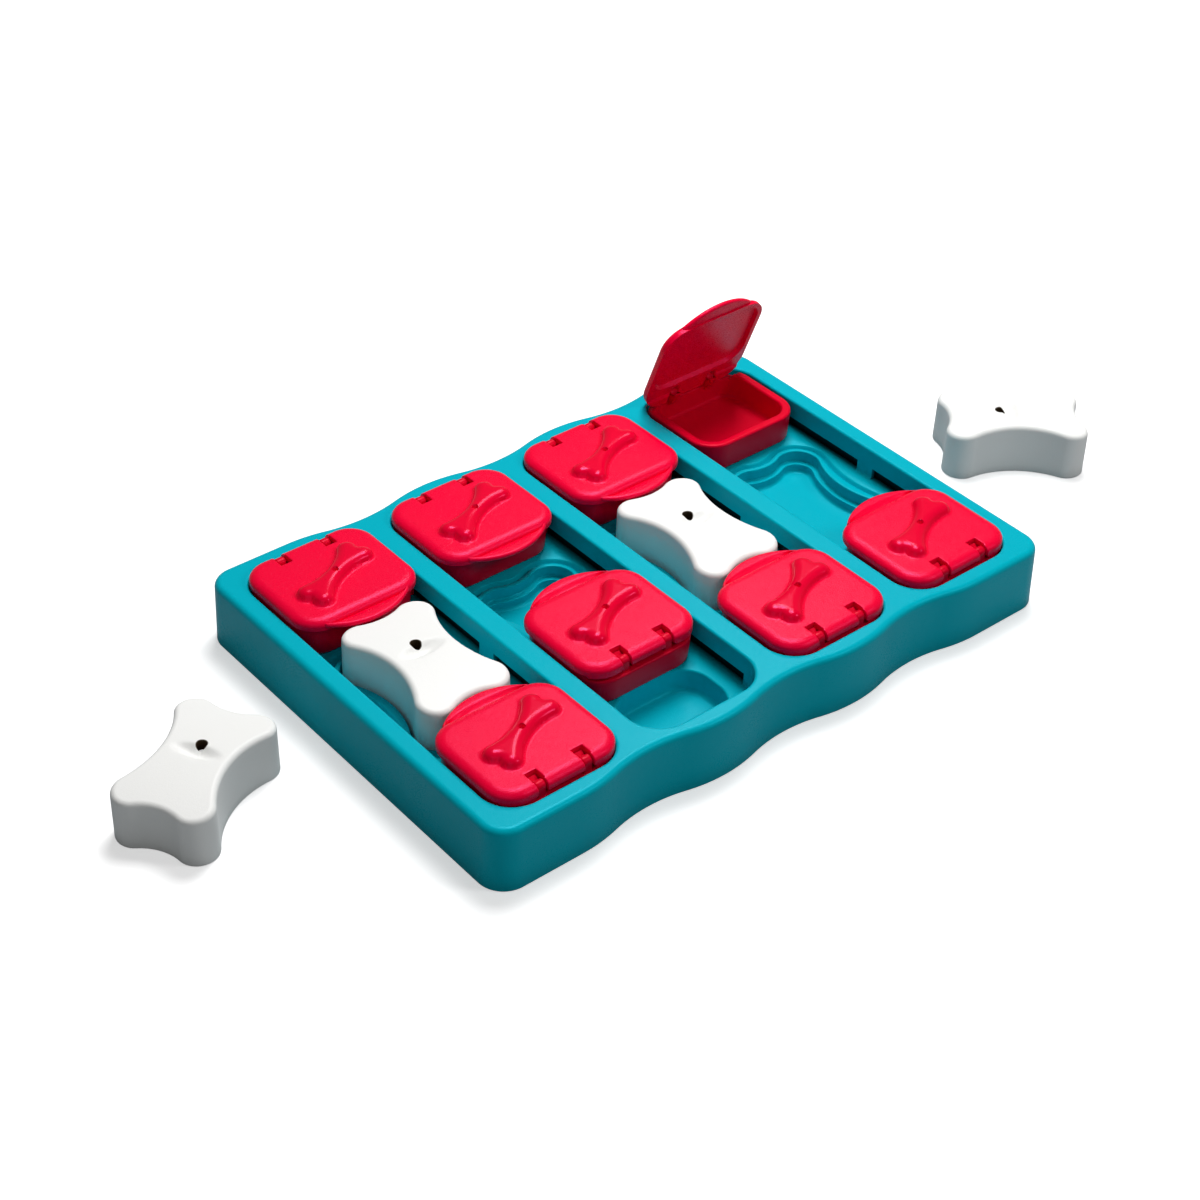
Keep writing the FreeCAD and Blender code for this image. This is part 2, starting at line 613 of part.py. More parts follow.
def build_lid(label):
    """A lid modelled round its hinge axis: plate, lip, raised bone, windows and two pins."""
    body = new_body(label)
    under = "-[hinge_above_rim] + [lid_gap]"
    over = f"{under} + [lid_plate]"
    front = f"[lid_front] - ({HINGE_ALONG})"
    half = f"({LANE_HALF} - [lid_side_gap])"
    plan = Outline(body, "lid_outline", up=under)
    plan.rounded(f"-{half}", half, front, "[lid_rear_overhang]", "[lid_corner]")
    plate = pad(body, plan, "lid_plate", "[lid_plate]")
    top = number(over)
    fillet(body, plate, "lid_edge", "[lid_edge_round]", lambda middle, box: level(box, top))

    lip = Outline(body, "lip_outline", up=f"{over} - [lip_drop] - [lip_thickness]")
    lip.bow("[lip_half_width]", front, "[lip_projection]", "[lip_root]")
    tongue = pad(body, lip, "lip", "[lip_thickness]")
    fillet(body, tongue, "lip_edge", "[lip_round]",
           lambda middle, box: middle.y < number(front) and box.ZMax - box.ZMin < 0.01)

    recess = Outline(body, "recess_outline", up=under)
    recess.rounded(f"-{half} + [lid_skirt]", f"{half} - [lid_skirt]", f"{front} + [lid_skirt]",
                   "-[window_size] - [lid_skirt]", "[lid_corner] - [lid_skirt]")
    pocket(body, recess, "recess", "[lid_recess]", up=True)

    middle = f"({front} + [lid_rear_overhang]) / 2 - [emblem_forward]"
    emblem = Outline(body, "emblem_outline", up=f"{over} - [emblem_root]", turn="[emblem_turn]")
    bind(emblem.sketch, "AttachmentOffset.Base.y", middle)
    emblem.bone("[emblem_spread]", "[emblem_half]", "[emblem_lobe]", "[emblem_waist]",
                "[emblem_end]")
    raised = pad(body, emblem, "emblem", "[emblem_height] + [emblem_root]")
    peak = top + size("emblem_height")
    fillet(body, raised, "emblem_edge", "[emblem_round]", lambda middle, box: level(box, peak))
    dot = Outline(body, "dimple_outline", up=f"{over} + [emblem_height]")
    dot.circle("0", middle, "[dimple_radius]")
    pocket(body, dot, "dimple", "[dimple_depth]")

    windows = Outline(body, "window_outline", up=f"{over} + [cut_over]")
    rear = "[lid_rear_overhang] + [cut_over]"
    for sign in ("", "-"):
        windows.rectangle(f"{sign}[hook_spread] - [window_size] / 2",
                          f"{sign}[hook_spread] + [window_size] / 2", "-[window_size]", "0")
    pocket(body, windows, "windows", "[lid_plate] + 2 * [cut_over]")
    cuts = Outline(body, "hook_slot_outline", up=f"{over} + [cut_over]")
    for sign in ("", "-"):
        cuts.rectangle(f"{sign}[hook_spread] - [hook_slot] / 2",
                       f"{sign}[hook_spread] + [hook_slot] / 2", "-[cut_over]", rear)
    pocket(body, cuts, "hook_slots", "[lid_plate] + 2 * [cut_over]")
    for sign, name in (("", "right"), ("-", "left")):
        pin = Outline(body, f"{name}_pin_outline", plane="YZ_Plane", up=f"{sign}[hook_spread]")
        pin.circle("0", "0", "[pin_radius]")
        pad(body, pin, f"{name}_pin", "[window_size] + [cut_over]", both=True)
    doc.recompute()
    return body


def build_bone(label):
    """A hollow block: flared sides, a crowned top, a finger grip and a scent hole."""
    body = new_body(label)
    draft = "atan([bone_flare] / ([bone_height] + [bone_crown]))"
    crest = "[bone_height] + [bone_crown]"
    plan = Outline(body, "foot_outline")
    plan.bone(*BONE, "[bone_flare]")
    block = pad(body, plan, "bone_block", crest, draft=f"-{draft}")
    crown = Outline(body, "crown_outline", plane="YZ_Plane")
    crown.crown("[bone_lobe_end] + [bone_lobe]", "[bone_height]", "[bone_crown]")
    shaped = pocket(body, crown, "crown", "([bone_lobe_side] + [bone_lobe]) * 4", both=True)
    low = size("bone_height") - size("cut_over")
    rounded = fillet(body, shaped, "bone_top_edge", "[bone_top_round]",
                     lambda middle, box: box.ZMin > low)
    hollow = Outline(body, "hollow_outline")
    hollow.bone(*BONE, "[bone_flare] - [bone_wall]")
    pocket(body, hollow, "hollow", "[bone_height] - [bone_roof]", up=True, draft=f"-{draft}")
    grip = body.newObject("PartDesign::SubtractiveEllipsoid", "grip")
    grip.AttachmentSupport = plan.sketch.AttachmentSupport
    grip.MapMode = "FlatFace"
    for prop, text in (("Radius1", "[grip_depth]"), ("Radius2", "[grip_half]"),
                       ("Radius3", "[grip_side]"), ("AttachmentOffset.Base.y", "[grip_offset]"),
                       ("AttachmentOffset.Base.z", crest)):
        bind(grip, prop, text)
    hole = Outline(body, "scent_outline", up=f"{crest} + [cut_over]")
    hole.circle("0", "[scent_offset]", "[scent_radius]")
    pocket(body, hole, "scent_hole", "[bone_roof] + [bone_crown] + 3 * [cut_over]")
    doc.recompute()
    return body


def stand(body, across, along="0", up="0", turn=None, axis=(0, 0, 1)):
    """Place a body by formulas, with one turn about an axis through its own origin."""
    if turn is not None:
        body.Placement.Rotation = FreeCAD.Rotation(FreeCAD.Vector(*axis), number(turn))
        bind(body, "Placement.Rotation.Angle", f"({turn}) * 1 deg")
    for axis_name, text in (("x", across), ("y", along), ("z", up)):
        bind(body, f"Placement.Base.{axis_name}", text)


pieces = [build_tray()]
lanes = int(size("lane_count"))
for lane in range(lanes):
    lane_across = f"[lane_pitch] * {lane - (lanes - 1) / 2}"
    for end, turn, mirror in (("far", None, ""), ("near", "180", "-")):
        # The second lane's near box is drawn slid to the middle, and its block is out
        slid = "[slide_travel]" if (lane, end) == (1, "near") else "0"
        box = build_box(f"box_{end}_{lane + 1}")
        stand(box, lane_across, slid, turn=turn)
        lid = build_lid(f"lid_{end}_{lane + 1}")
        hinge = (f"{mirror}({HINGE_ALONG}) + {slid}", HINGE_UP)
        if (lane, end) == (3, "far"):
            # The last far lid is drawn open
            stand(lid, lane_across, *hinge, turn="-[lid_open_angle]", axis=(1, 0, 0))
        else:
            stand(lid, lane_across, *hinge, turn=turn)
        pieces += [box, lid]
    if lane in (0, 2):
        seated = build_bone(f"bone_lane_{lane + 1}")
        stand(seated, lane_across, up="[well_ledge] + [seat_gap]")
        pieces.append(seated)
for side in ("left", "right"):
    loose = build_bone(f"bone_loose_{side}")
    stand(loose, f"[loose_{side}_across]", f"[loose_{side}_along]", turn=f"[loose_{side}_turn]")
    pieces.append(loose)
doc.recompute()

for item in doc.Objects:
    if "Invalid" in item.State or "Error" in item.State:
        raise RuntimeError(f"{item.Label} did not build: {item.State}")
for piece in pieces:
    shape = piece.Shape
    if shape.isNull() or not shape.isValid() or len(shape.Solids) != 1:
        raise RuntimeError(f"{piece.Label} is not one sound solid")

os.makedirs("parts", exist_ok=True)
for piece in pieces:
    piece.Shape.exportStep(f"parts/{piece.Label}.step")
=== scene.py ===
import math

import bpy
import numpy as np
from mathutils import Matrix, Vector


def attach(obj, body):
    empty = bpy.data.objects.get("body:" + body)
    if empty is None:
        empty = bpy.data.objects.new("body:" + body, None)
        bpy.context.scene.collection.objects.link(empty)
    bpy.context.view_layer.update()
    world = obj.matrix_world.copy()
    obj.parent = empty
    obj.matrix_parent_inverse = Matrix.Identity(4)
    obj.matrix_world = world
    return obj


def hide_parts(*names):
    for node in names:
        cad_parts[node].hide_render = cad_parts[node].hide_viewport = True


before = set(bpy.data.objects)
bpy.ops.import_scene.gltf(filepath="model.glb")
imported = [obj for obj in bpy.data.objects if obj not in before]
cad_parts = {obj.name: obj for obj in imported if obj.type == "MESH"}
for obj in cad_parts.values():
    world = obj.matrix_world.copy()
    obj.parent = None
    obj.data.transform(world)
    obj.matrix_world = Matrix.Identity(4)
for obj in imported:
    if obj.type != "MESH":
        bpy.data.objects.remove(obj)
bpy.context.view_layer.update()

# ---- Tray ----
# One injection moulding in teal plastic with a fine spark eroded grain, open below, the same wall
# everywhere. Four lanes are sunk into it, each with slots along its sides for the boxes' tabs, two
# end wells, and a bone shaped well with a ledge inside and a ridge and a groove round its mouth.

MM = 0.001
QUARTER = math.pi / 2

TRAY_HALF = 160.7
TRAY_BULGE = 108.6
WAVE_DEPTH = 5.0
TRAY_TOP = 32.0
TRAY_CORNER = 13.0
TRAY_LEAN = math.tan(math.radians(1.9))
TRAY_ROUND = 3.0
WALL = 2.6
LANE_PITCH = 77.6
LANE_HALF = 32.95
LANE_END = 98.4
LANE_CORNER = 16.0
LANE_ROUND = 1.3
LANE_FLOOR = 16.4
LANE_FILLET = 1.4
SLOT_TOP = 22.3
SLOT_REACH = 2.4
SLOT_BRIDGE = 5.0
NARROW_ROW = 0.4
WELL_FLOOR = 6.0
WELL_LEDGE = 10.4
MIDDLE_CELL = 50.0
LANES = [(lane - 1.5) * LANE_PITCH for lane in range(4)]
WAVE = (LANE_PITCH ** 2 / 4 + WAVE_DEPTH ** 2) / (4 * WAVE_DEPTH)


class Loop:
    """A closed outline seen from above, walked anticlockwise: its points, and at each point the
    unit direction that faces out of it. Grown by d, every point moves d along its direction."""

    def __init__(self, points, facing):
        self.points, self.facing = np.array(points, float), np.array(facing, float)

    def grown(self, by):
        return self.points + np.reshape(by, (-1, 1)) * self.facing


def arc(across, along, radius, start, stop, steps, extra=()):
    """Points on a circle at even angles from start to stop, and their directions from its centre.
    Any extra angle in between is added, so that the outline has a point just there."""
    turn = np.linspace(start, stop, steps)
    turn = np.unique(np.append(turn, extra)) if stop > start else turn
    ray = np.stack([np.cos(turn), np.sin(turn)], axis=1)
    return np.array([across, along]) + radius * ray, ray


def rounded_loop(half, low, high, radius, along=2, across=2, turns=12, extra=()):
    """A rectangle with round corners: each straight is points at a steady direction, and each
    corner a quarter circle about the point a radius inside it. extra holds corner angles."""
    side = np.linspace(low + radius, high - radius, along) if np.isscalar(along) else along
    flat = np.linspace(radius - half, half - radius, across)
    points, facing = [], []
    for quarter in range(4):
        turn = quarter * QUARTER
        right, up = math.cos(turn), math.sin(turn)
        run = side if quarter % 2 == 0 else flat
        run = run if quarter in (0, 3) else run[::-1]
        edge = half if quarter % 2 == 0 else (high if quarter == 1 else -low)
        if quarter % 2 == 0:
            straight = np.stack([np.full(len(run), right * edge), run], axis=1)
        else:
            straight = np.stack([run, np.full(len(run), up * edge)], axis=1)
        points.append(straight)
        facing.append(np.tile([right, up], (len(run), 1)))
        across_at = (half - radius) * (1 if quarter in (0, 3) else -1)
        along_at = high - radius if quarter in (0, 1) else low + radius
        mirrored = np.array([a if quarter in (0, 2) else QUARTER - a for a in extra])
        bend, ray = arc(across_at, along_at, radius, turn, turn + QUARTER, turns, turn + mirrored)
        points.append(bend[1:-1])
        facing.append(ray[1:-1])
    return Loop(np.concatenate(points), np.concatenate(facing))


def bone_loop(side, end, lobe, waist, tip, turns=24, extra=()):
    """A bone seen from above. A quarter of it is three arcs that meet smoothly: a hollow side
    centred on the X axis, a round lobe about (side, end) and a hollow end centred on the Y axis.
    A hollow's radius follows from touching the lobe and passing through the waist or the tip."""
    dent, bay = waist - side, tip - end
    side_arc = (dent ** 2 + end ** 2 - lobe ** 2) / (2 * (lobe - dent))
    end_arc = (bay ** 2 + side ** 2 - lobe ** 2) / (2 * (lobe - bay))
    lean = math.atan2(end, waist + side_arc - side)
    rise = math.atan2(tip + end_arc - end, side)
    hollow, inward = arc(waist + side_arc, 0, side_arc, math.pi, math.pi - lean, turns)
    knob, outward = arc(side, end, lobe, -lean, math.pi - rise, 2 * turns, extra)
    bow, down = arc(0, tip + end_arc, end_arc, -rise, -QUARTER, turns // 2)
    points = np.concatenate([hollow[:-1], knob, bow[1:]])
    facing = np.concatenate([-inward[:-1], outward, -down[1:]])
    flip = np.array([-1.0, 1.0])
    half = np.concatenate([points, (points * flip)[-2::-1]])
    half_facing = np.concatenate([facing, (facing * flip)[-2::-1]])
    return Loop(np.concatenate([half, -half[1:-1]]), np.concatenate([half_facing, -half_facing[1:-1]]))


def level(points, height):
    """Give flat points their height, one number or one for each point."""
    return np.column_stack([points, np.broadcast_to(height, len(points))])


def quarter_round(radius, steps=6):
    """Shares of a quarter circle: how far a rounded edge has gone across, and how far down."""
    turn = np.linspace(0, QUARTER, steps)
    return radius * np.sin(turn), radius * (1 - np.cos(turn))


def cast(points, facing, inside, reach=60.0):
    """Where a straight walk from each point along its direction leaves a region, by halving."""
    near, far = np.zeros(len(points)), np.full(len(points), reach)
    for _ in range(36):
        middle = (near + far) / 2
        good = inside(points + middle[:, None] * facing)
        near, far = np.where(good, middle, near), np.where(good, far, middle)
    return points + near[:, None] * facing


class Skin:
    """A mesh gathered from grids of points, each of rows by columns, closed round the columns
    unless it is an open strip. Faces look to the right of the way the rows go, seen from outside
    with the columns running to the left."""

    def __init__(self):
        self.points, self.faces, self.count = [], [], 0

    def add(self, rows, closed=True, flip=False):
        grid = np.array(rows, float)
        height, width = grid.shape[:2]
        index = self.count + np.arange(height * width).reshape(height, width)
        ahead = np.roll(index, -1, axis=1)
        if not closed:
            index, ahead = index[:, :-1], ahead[:, :-1]
        quads = np.stack([index[:-1], ahead[:-1], ahead[1:], index[1:]], axis=-1).reshape(-1, 4)
        self.faces.append(quads[:, ::-1] if flip else quads)
        self.points.append(grid.reshape(-1, 3))
        self.count += height * width
        return self

    def moved(self, across=0.0, along=0.0, up=0.0):
        """A copy of the points so far, moved, as a new skin."""
        copy = Skin()
        copy.points = [np.concatenate(self.points) + np.array([across, along, up])]
        copy.faces, copy.count = [np.concatenate(self.faces)], self.count
        return copy

    def join(self, other):
        self.faces.append(np.concatenate(other.faces) + self.count)
        self.points.append(np.concatenate(other.points))
        self.count += other.count
        return self


def moulding(name, skin, material, crease=38.0, shade=None):
    """Make the mesh: points within a hundredth of a millimetre become one, faces that shrink to
    a line go, and edges sharper than the crease angle stay sharp. Shade, a number for each point
    that says how much painted shade its colour takes, is kept with the mesh for the material."""
    points = np.concatenate(skin.points)
    keys = np.round(points / 0.01).astype(np.int64)
    _, first, place = np.unique(keys, axis=0, return_index=True, return_inverse=True)
    quads = place.reshape(-1)[np.concatenate(skin.faces)]
    same = quads == np.roll(quads, -1, axis=1)
    quads = quads[(same.sum(axis=1) < 2) & (quads[:, 0] != quads[:, 2]) & (quads[:, 1] != quads[:, 3])]
    same = quads == np.roll(quads, -1, axis=1)
    whole = quads[~same.any(axis=1)]
    pinched = quads[same.any(axis=1)]
    triangles = pinched[~same[same.any(axis=1)]].reshape(-1, 3)
    mesh = bpy.data.meshes.new(name)
    mesh.from_pydata((points[first] * MM).tolist(), [], whole.tolist() + triangles.tolist())
    mesh.polygons.foreach_set("use_smooth", np.ones(len(mesh.polygons), bool))
    mesh.set_sharp_from_angle(angle=math.radians(crease))
    if shade is not None:
        mesh.attributes.new("shade", "FLOAT", "POINT").data.foreach_set("value", shade[first])
    mesh.materials.append(material)
    made = bpy.data.objects.new(name, mesh)
    bpy.context.scene.collection.objects.link(made)
    return made


def side_line(across, inset):
    """The tray's long side as its distance from the middle line, at each distance across, for an
    outline drawn in by inset: a swelling arc at each lane, a dipping arc between two lanes with
    the same radius before it is drawn in, straight past the last lane, then the corner's arc."""
    out = np.abs(across)
    last = LANES[-1]
    nearest = np.clip(np.round((out - LANE_PITCH / 2) / LANE_PITCH), 0, 1) * LANE_PITCH + LANE_PITCH / 2
    offset = np.abs(out - nearest)
    swell, dip = WAVE - inset, WAVE + inset
    change = LANE_PITCH / 2 * swell / (2 * WAVE)
    crest = TRAY_BULGE - WAVE + np.sqrt(np.maximum(swell ** 2 - offset ** 2, 0))
    valley = TRAY_BULGE - WAVE_DEPTH + WAVE - np.sqrt(dip ** 2 - (LANE_PITCH / 2 - offset) ** 2)
    line = np.where((offset < change) | (out > last), crest, valley)
    line = np.where(out > last, TRAY_BULGE - inset, line)
    bend = TRAY_CORNER - inset
    past = np.maximum(out - (TRAY_HALF - TRAY_CORNER), 0)
    rounded = TRAY_BULGE - TRAY_CORNER + np.sqrt(np.maximum(bend ** 2 - past ** 2, 0))
    return np.where(past > 0, rounded, line)


def side_facing(points, inset):
    """The direction that faces out of the tray's outline at points on it, from the same arcs."""
    out, up = np.abs(points[:, 0]), np.abs(points[:, 1])
    nearest = np.clip(np.round((out - LANE_PITCH / 2) / LANE_PITCH), 0, 1) * LANE_PITCH + LANE_PITCH / 2
    offset = out - nearest
    change = LANE_PITCH / 2 * (WAVE - inset) / (2 * WAVE)
    crest = np.stack([offset, up - (TRAY_BULGE - WAVE)], axis=1)
    middle = nearest + np.where(offset > 0, 1, -1) * LANE_PITCH / 2
    valley = np.stack([middle - out, TRAY_BULGE - WAVE_DEPTH + WAVE - up], axis=1)
    ray = np.where((np.abs(offset) < change)[:, None], crest, valley)
    ray = np.where((out > LANES[-1])[:, None], np.array([0.0, 1.0]), ray)
    corner = np.stack([out - (TRAY_HALF - TRAY_CORNER), up - (TRAY_BULGE - TRAY_CORNER)], axis=1)
    bend = np.where((corner[:, 1] > 0)[:, None], corner, [1.0, 0.0])
    ray = np.where((corner[:, 0] > 0)[:, None], bend, ray)
    ray = ray / np.linalg.norm(ray, axis=1)[:, None]
    return ray * np.where(points < 0, -1.0, 1.0)


def lane_side():
    """How far along a lane's straight side its points lie, and which of them are in a slot. The
    slots' end points come twice, once outside and once inside, so that a slot gets end walls."""
    reach = LANE_END - LANE_CORNER
    bridge = np.array([-SLOT_BRIDGE, 0.0, SLOT_BRIDGE])
    run = np.concatenate([np.linspace(SLOT_BRIDGE, MIDDLE_CELL, 8), [60, 72, reach]])
    side = np.concatenate([[-reach], -run[::-1], bridge, run, [reach]])
    slot = np.concatenate([[False], np.ones(len(run), bool), np.zeros(3, bool),
                           np.ones(len(run), bool), [False]])
    return side, slot


def lane_rows(lane, slot):
    """A lane's wall from its rim down: a rounded edge, a straight wall, the slot that reaches
    outwards only where a column is in a slot, and a fillet to the floor elsewhere."""
    across, down = quarter_round(LANE_ROUND)
    rows = [level(lane.grown(LANE_ROUND - a), TRAY_TOP - d) for a, d in zip(across, down)]
    slot = np.where(slot, 1.0, 0.0)
    fillet = LANE_FILLET * (1 - slot)
    floor = LANE_FLOOR
    for out, height in ((0, SLOT_TOP), (SLOT_REACH, SLOT_TOP), (SLOT_REACH, floor), (0, floor)):
        rise = fillet if height == floor else 0
        rows.append(level(lane.grown(out * slot), height + rise))
    turn = np.linspace(0, QUARTER, 5)[1:]
    for angle in turn:
        rise = fillet * (1 - math.sin(angle))
        rows.append(level(lane.grown(-LANE_FILLET * (1 - math.cos(angle))), floor + rise))
    return rows


WELL_BONE = dict(side=14.0, end=26.6, lobe=9.0, tip=32.4)
BONE_WAIST, GROOVE_WAIST = 16.0, 18.0
BONE_FLARE = 0.3
MOUTH_GROW, RIDGE_GROW, GROOVE_GROW = 1.6, 3.4, 7.2
LEDGE_GROW = -1.2
GROOVE_DEEP = 2.4
MOUTH_ROUND, LEDGE_ROUND, WELL_FILLET = 0.7, 0.5, 2.0
WELL_SPINE = 20.0


def bone_rings(grow):
    """The outlines of the groove and of the well, with points on the rays to their cell's corners
    in a lane grown by so much."""
    angle = math.atan2(MIDDLE_CELL - WELL_BONE["end"], LANE_HALF + grow - WELL_BONE["side"])
    return [bone_loop(**WELL_BONE, waist=waist, extra=(angle,)) for waist in (GROOVE_WAIST, BONE_WAIST)]


def groove_rows():
    """The bone well from its groove inwards. Across the groove the floor follows one wave of a
    cosine, then the ridge's rounded top, the mouth's wall to the ledge, and the lower well."""
    ring, well = bone_rings(-LANE_FILLET)
    rows = []
    for share in np.linspace(0, 1, 11):
        grow = GROOVE_GROW + (RIDGE_GROW - GROOVE_GROW) * share
        height = LANE_FLOOR - GROOVE_DEEP * (1 - math.cos(2 * math.pi * share)) / 2
        rows.append(level(ring.grown(grow), height))
    across, down = quarter_round(MOUTH_ROUND)
    rows += [level(well.grown(MOUTH_GROW + MOUTH_ROUND - a), LANE_FLOOR - d) for a, d in zip(across, down)]
    rows.append(level(well.grown(MOUTH_GROW), WELL_LEDGE + 0.5))
    rows.append(level(well.grown(MOUTH_GROW - 0.5), WELL_LEDGE))
    across, down = quarter_round(LEDGE_ROUND)
    rows += [level(well.grown(LEDGE_GROW + LEDGE_ROUND - a), WELL_LEDGE - d) for a, d in zip(across, down)]
    for angle in np.linspace(0, QUARTER, 6):
        inset = WELL_FILLET * (1 - math.cos(angle))
        rows.append(level(well.grown(LEDGE_GROW - inset), WELL_FLOOR + WELL_FILLET * (1 - math.sin(angle))))
    return ring, rows + [shrunk(rows[-1], share, WELL_SPINE) for share in (0.5, 0.0)]


def shrunk(row, share, reach):
    """A row drawn in towards the middle line: across shrinks to nothing, and along to a short
    line's ends, so that hollow sides don't fold over."""
    middle = np.column_stack([np.zeros(len(row)), np.clip(row[:, 1], -reach, reach), row[:, 2]])
    return middle + share * (row - middle)


END_WELL = dict(half=24.0, low=56.0, high=91.0, radius=14.0)
END_MIDDLE = (END_WELL["low"] + END_WELL["high"]) / 2
END_ROUND, END_FILLET, END_DRAFT = 1.0, 2.6, 8.0


def end_ring(mirror, grow):
    """An end well's outline, with points on the rays to its cell's corners in a lane grown by so
    much, and turned half round for the near end."""
    angle = math.atan2(MIDDLE_CELL - END_WELL["low"] - END_WELL["radius"],
                       LANE_HALF + grow - END_WELL["half"] + END_WELL["radius"])
    ring = rounded_loop(**END_WELL, turns=24, extra=(-angle,))
    return Loop(-ring.points, -ring.facing) if mirror else ring


def end_well_rows(mirror):
    """An end well from its mouth in: a rounded mouth, a wall that leans in by its draft, a fillet
    and a flat floor drawn in to the middle."""
    ring = end_ring(mirror, -LANE_FILLET)
    across, down = quarter_round(END_ROUND)
    rows = [level(ring.grown(END_ROUND - a), LANE_FLOOR - d) for a, d in zip(across, down)]
    draft = math.tan(math.radians(END_DRAFT)) * (LANE_FLOOR - WELL_FLOOR)
    for angle in np.linspace(0, QUARTER, 7):
        inset = draft + END_FILLET * (1 - math.cos(angle)) - 0.3
        rows.append(level(ring.grown(-inset), WELL_FLOOR + END_FILLET * (1 - math.sin(angle))))
    centre = np.array([0, -END_MIDDLE if mirror else END_MIDDLE, WELL_FLOOR])
    rows += [centre + share * (rows[-1] - centre) for share in (0.5, 0.0)]
    return ring, rows


def lane_floor(grow, height, middle, ends, flip=False):
    """A lane's floor, for a lane grown by so much: three cells side by side, each flat from its own
    border to the rows of its well."""
    reach, end, bend = LANE_HALF + grow, LANE_END + grow, LANE_CORNER + grow

    def in_middle(points):
        return (np.abs(points[:, 0]) <= reach) & (np.abs(points[:, 1]) <= MIDDLE_CELL)

    def in_end(points):
        out, up = np.abs(points[:, 0]), np.abs(points[:, 1])
        past = np.stack([out - reach + bend, up - end + bend], axis=1)
        corner = np.hypot(*np.maximum(past, 0).T) <= bend
        return (out <= reach) & (up <= end) & (up >= MIDDLE_CELL) & corner

    skin = Skin()
    for (ring, rows), cell in ((middle, in_middle), (ends[0], in_end), (ends[1], in_end)):
        border = cast(rows[0][:, :2], ring.facing, cell)
        skin.add([level(border, height)] + rows, flip=flip)
    return skin


def flat_border(place, start, facing, inset):
    """Where a lane's share of the flat top ends: half way to the next lane, or at the tray's outline
    drawn in by inset."""
    def on_top(points):
        x = points[:, 0] + place
        inner = np.abs(points[:, 0]) <= LANE_PITCH / 2
        outer = (np.sign(x) == np.sign(points[:, 0])) & (abs(place) > LANE_PITCH)
        end = np.abs(x) <= TRAY_HALF - inset
        return (inner | outer) & end & (np.abs(points[:, 1]) <= side_line(x, inset))

    return cast(start, facing, on_top)


def lane_skin(place):
    """One lane's share of the moulding: above, the flat top from the tray's rounded edge or the next
    lane to the rim, the lane's wall and slots, and its floor, and below, the same a wall further
    out and down, with plain edges. Narrow rows beside the rounded edges keep the top flat."""
    rim_inset = TRAY_LEAN * TRAY_TOP + TRAY_ROUND
    side, slot_side = lane_side()
    notches = [math.atan2(side_line(LANE_PITCH / 2, inset) - LANE_END + LANE_CORNER,
                          LANE_PITCH / 2 - LANE_HALF + LANE_CORNER)
               for inset in (rim_inset, rim_inset + WALL)]
    lane = rounded_loop(LANE_HALF, -LANE_END, LANE_END, LANE_CORNER, along=side, across=14,
                        turns=60, extra=notches)
    slot = np.abs(lane.facing[:, 1]) < 1e-9
    slot[slot] = np.concatenate([slot_side, slot_side[::-1]])
    border = flat_border(place, lane.grown(LANE_ROUND), lane.facing, rim_inset)
    top = [border, border - NARROW_ROW * lane.facing, lane.grown(LANE_ROUND + NARROW_ROW)]
    skin = Skin().add([level(row, TRAY_TOP) for row in top] + lane_rows(lane, slot))
    skin.join(lane_floor(-LANE_FILLET, LANE_FLOOR, groove_rows(), [end_well_rows(m) for m in (False, True)]))

    under, shelf, outside = WELL_FLOOR - WALL, LANE_FLOOR - WALL, lane.grown(WALL)
    ceiling = flat_border(place, outside, lane.facing, rim_inset + WALL)
    skin.add([level(ceiling, TRAY_TOP - WALL), level(outside, TRAY_TOP - WALL), level(outside, shelf)],
             flip=True)
    groove, well = bone_rings(WALL)
    lip, foot = groove.grown(GROOVE_GROW), level(well.grown(MOUTH_GROW + WALL), under)
    tub = [level(lip, shelf), level(lip, shelf - GROOVE_DEEP), foot + [0, 0, shelf - GROOVE_DEEP - under],
           foot, shrunk(foot, 0.0, WELL_SPINE)]
    ends = []
    for mirror in (False, True):
        ring = end_ring(mirror, WALL)
        foot = level(ring.grown(WALL), under)
        centre = [0, -END_MIDDLE if mirror else END_MIDDLE, under]
        ends.append((ring, [foot + [0, 0, shelf - under], foot, foot * 0 + centre]))
    skin.join(lane_floor(WALL, shelf, (groove, tub), ends, flip=True))
    edge = border[np.abs(np.abs(border[:, 0]) - LANE_PITCH / 2) > 1e-6] + np.array([place, 0.0])
    return skin.moved(place), edge


def outer_wall(edge):
    """The tray's outside from the flat top to the rim it stands on and up the inside again. Its
    columns are where the lanes' flat tops end; inset grows with height by the mould's draft."""
    rim_inset = TRAY_LEAN * TRAY_TOP + TRAY_ROUND
    valleys = np.array([[x, y * side_line(np.array([x]), rim_inset)[0]]
                        for x in (-LANE_PITCH, 0.0, LANE_PITCH) for y in (1, -1)])
    edge = np.concatenate([edge, valleys])
    edge = edge[np.argsort(np.arctan2(edge[:, 1], edge[:, 0]))]
    near = np.linalg.norm(edge - np.roll(edge, 1, axis=0), axis=1) > 0.02
    loop = Loop(edge[near], side_facing(edge[near], rim_inset))
    across, down = quarter_round(TRAY_ROUND, 9)
    rows = [level(loop.grown(a + TRAY_LEAN * d), TRAY_TOP - d) for a, d in zip(across, down)]
    for height in (24.0, 16.0, 8.0):
        rows.append(level(loop.grown(rim_inset - TRAY_LEAN * height), height))
    for angle in np.linspace(0, QUARTER, 4):
        inset = 0.5 * (1 - math.cos(angle))
        rows.append(level(loop.grown(rim_inset - inset), 0.5 * (1 - math.sin(angle))))
    rows.append(level(loop.grown(rim_inset - WALL), 0.0))
    rows.append(level(loop.grown(rim_inset - WALL - TRAY_LEAN * TRAY_TOP), TRAY_TOP - WALL))
    return Skin().add(rows, flip=True)


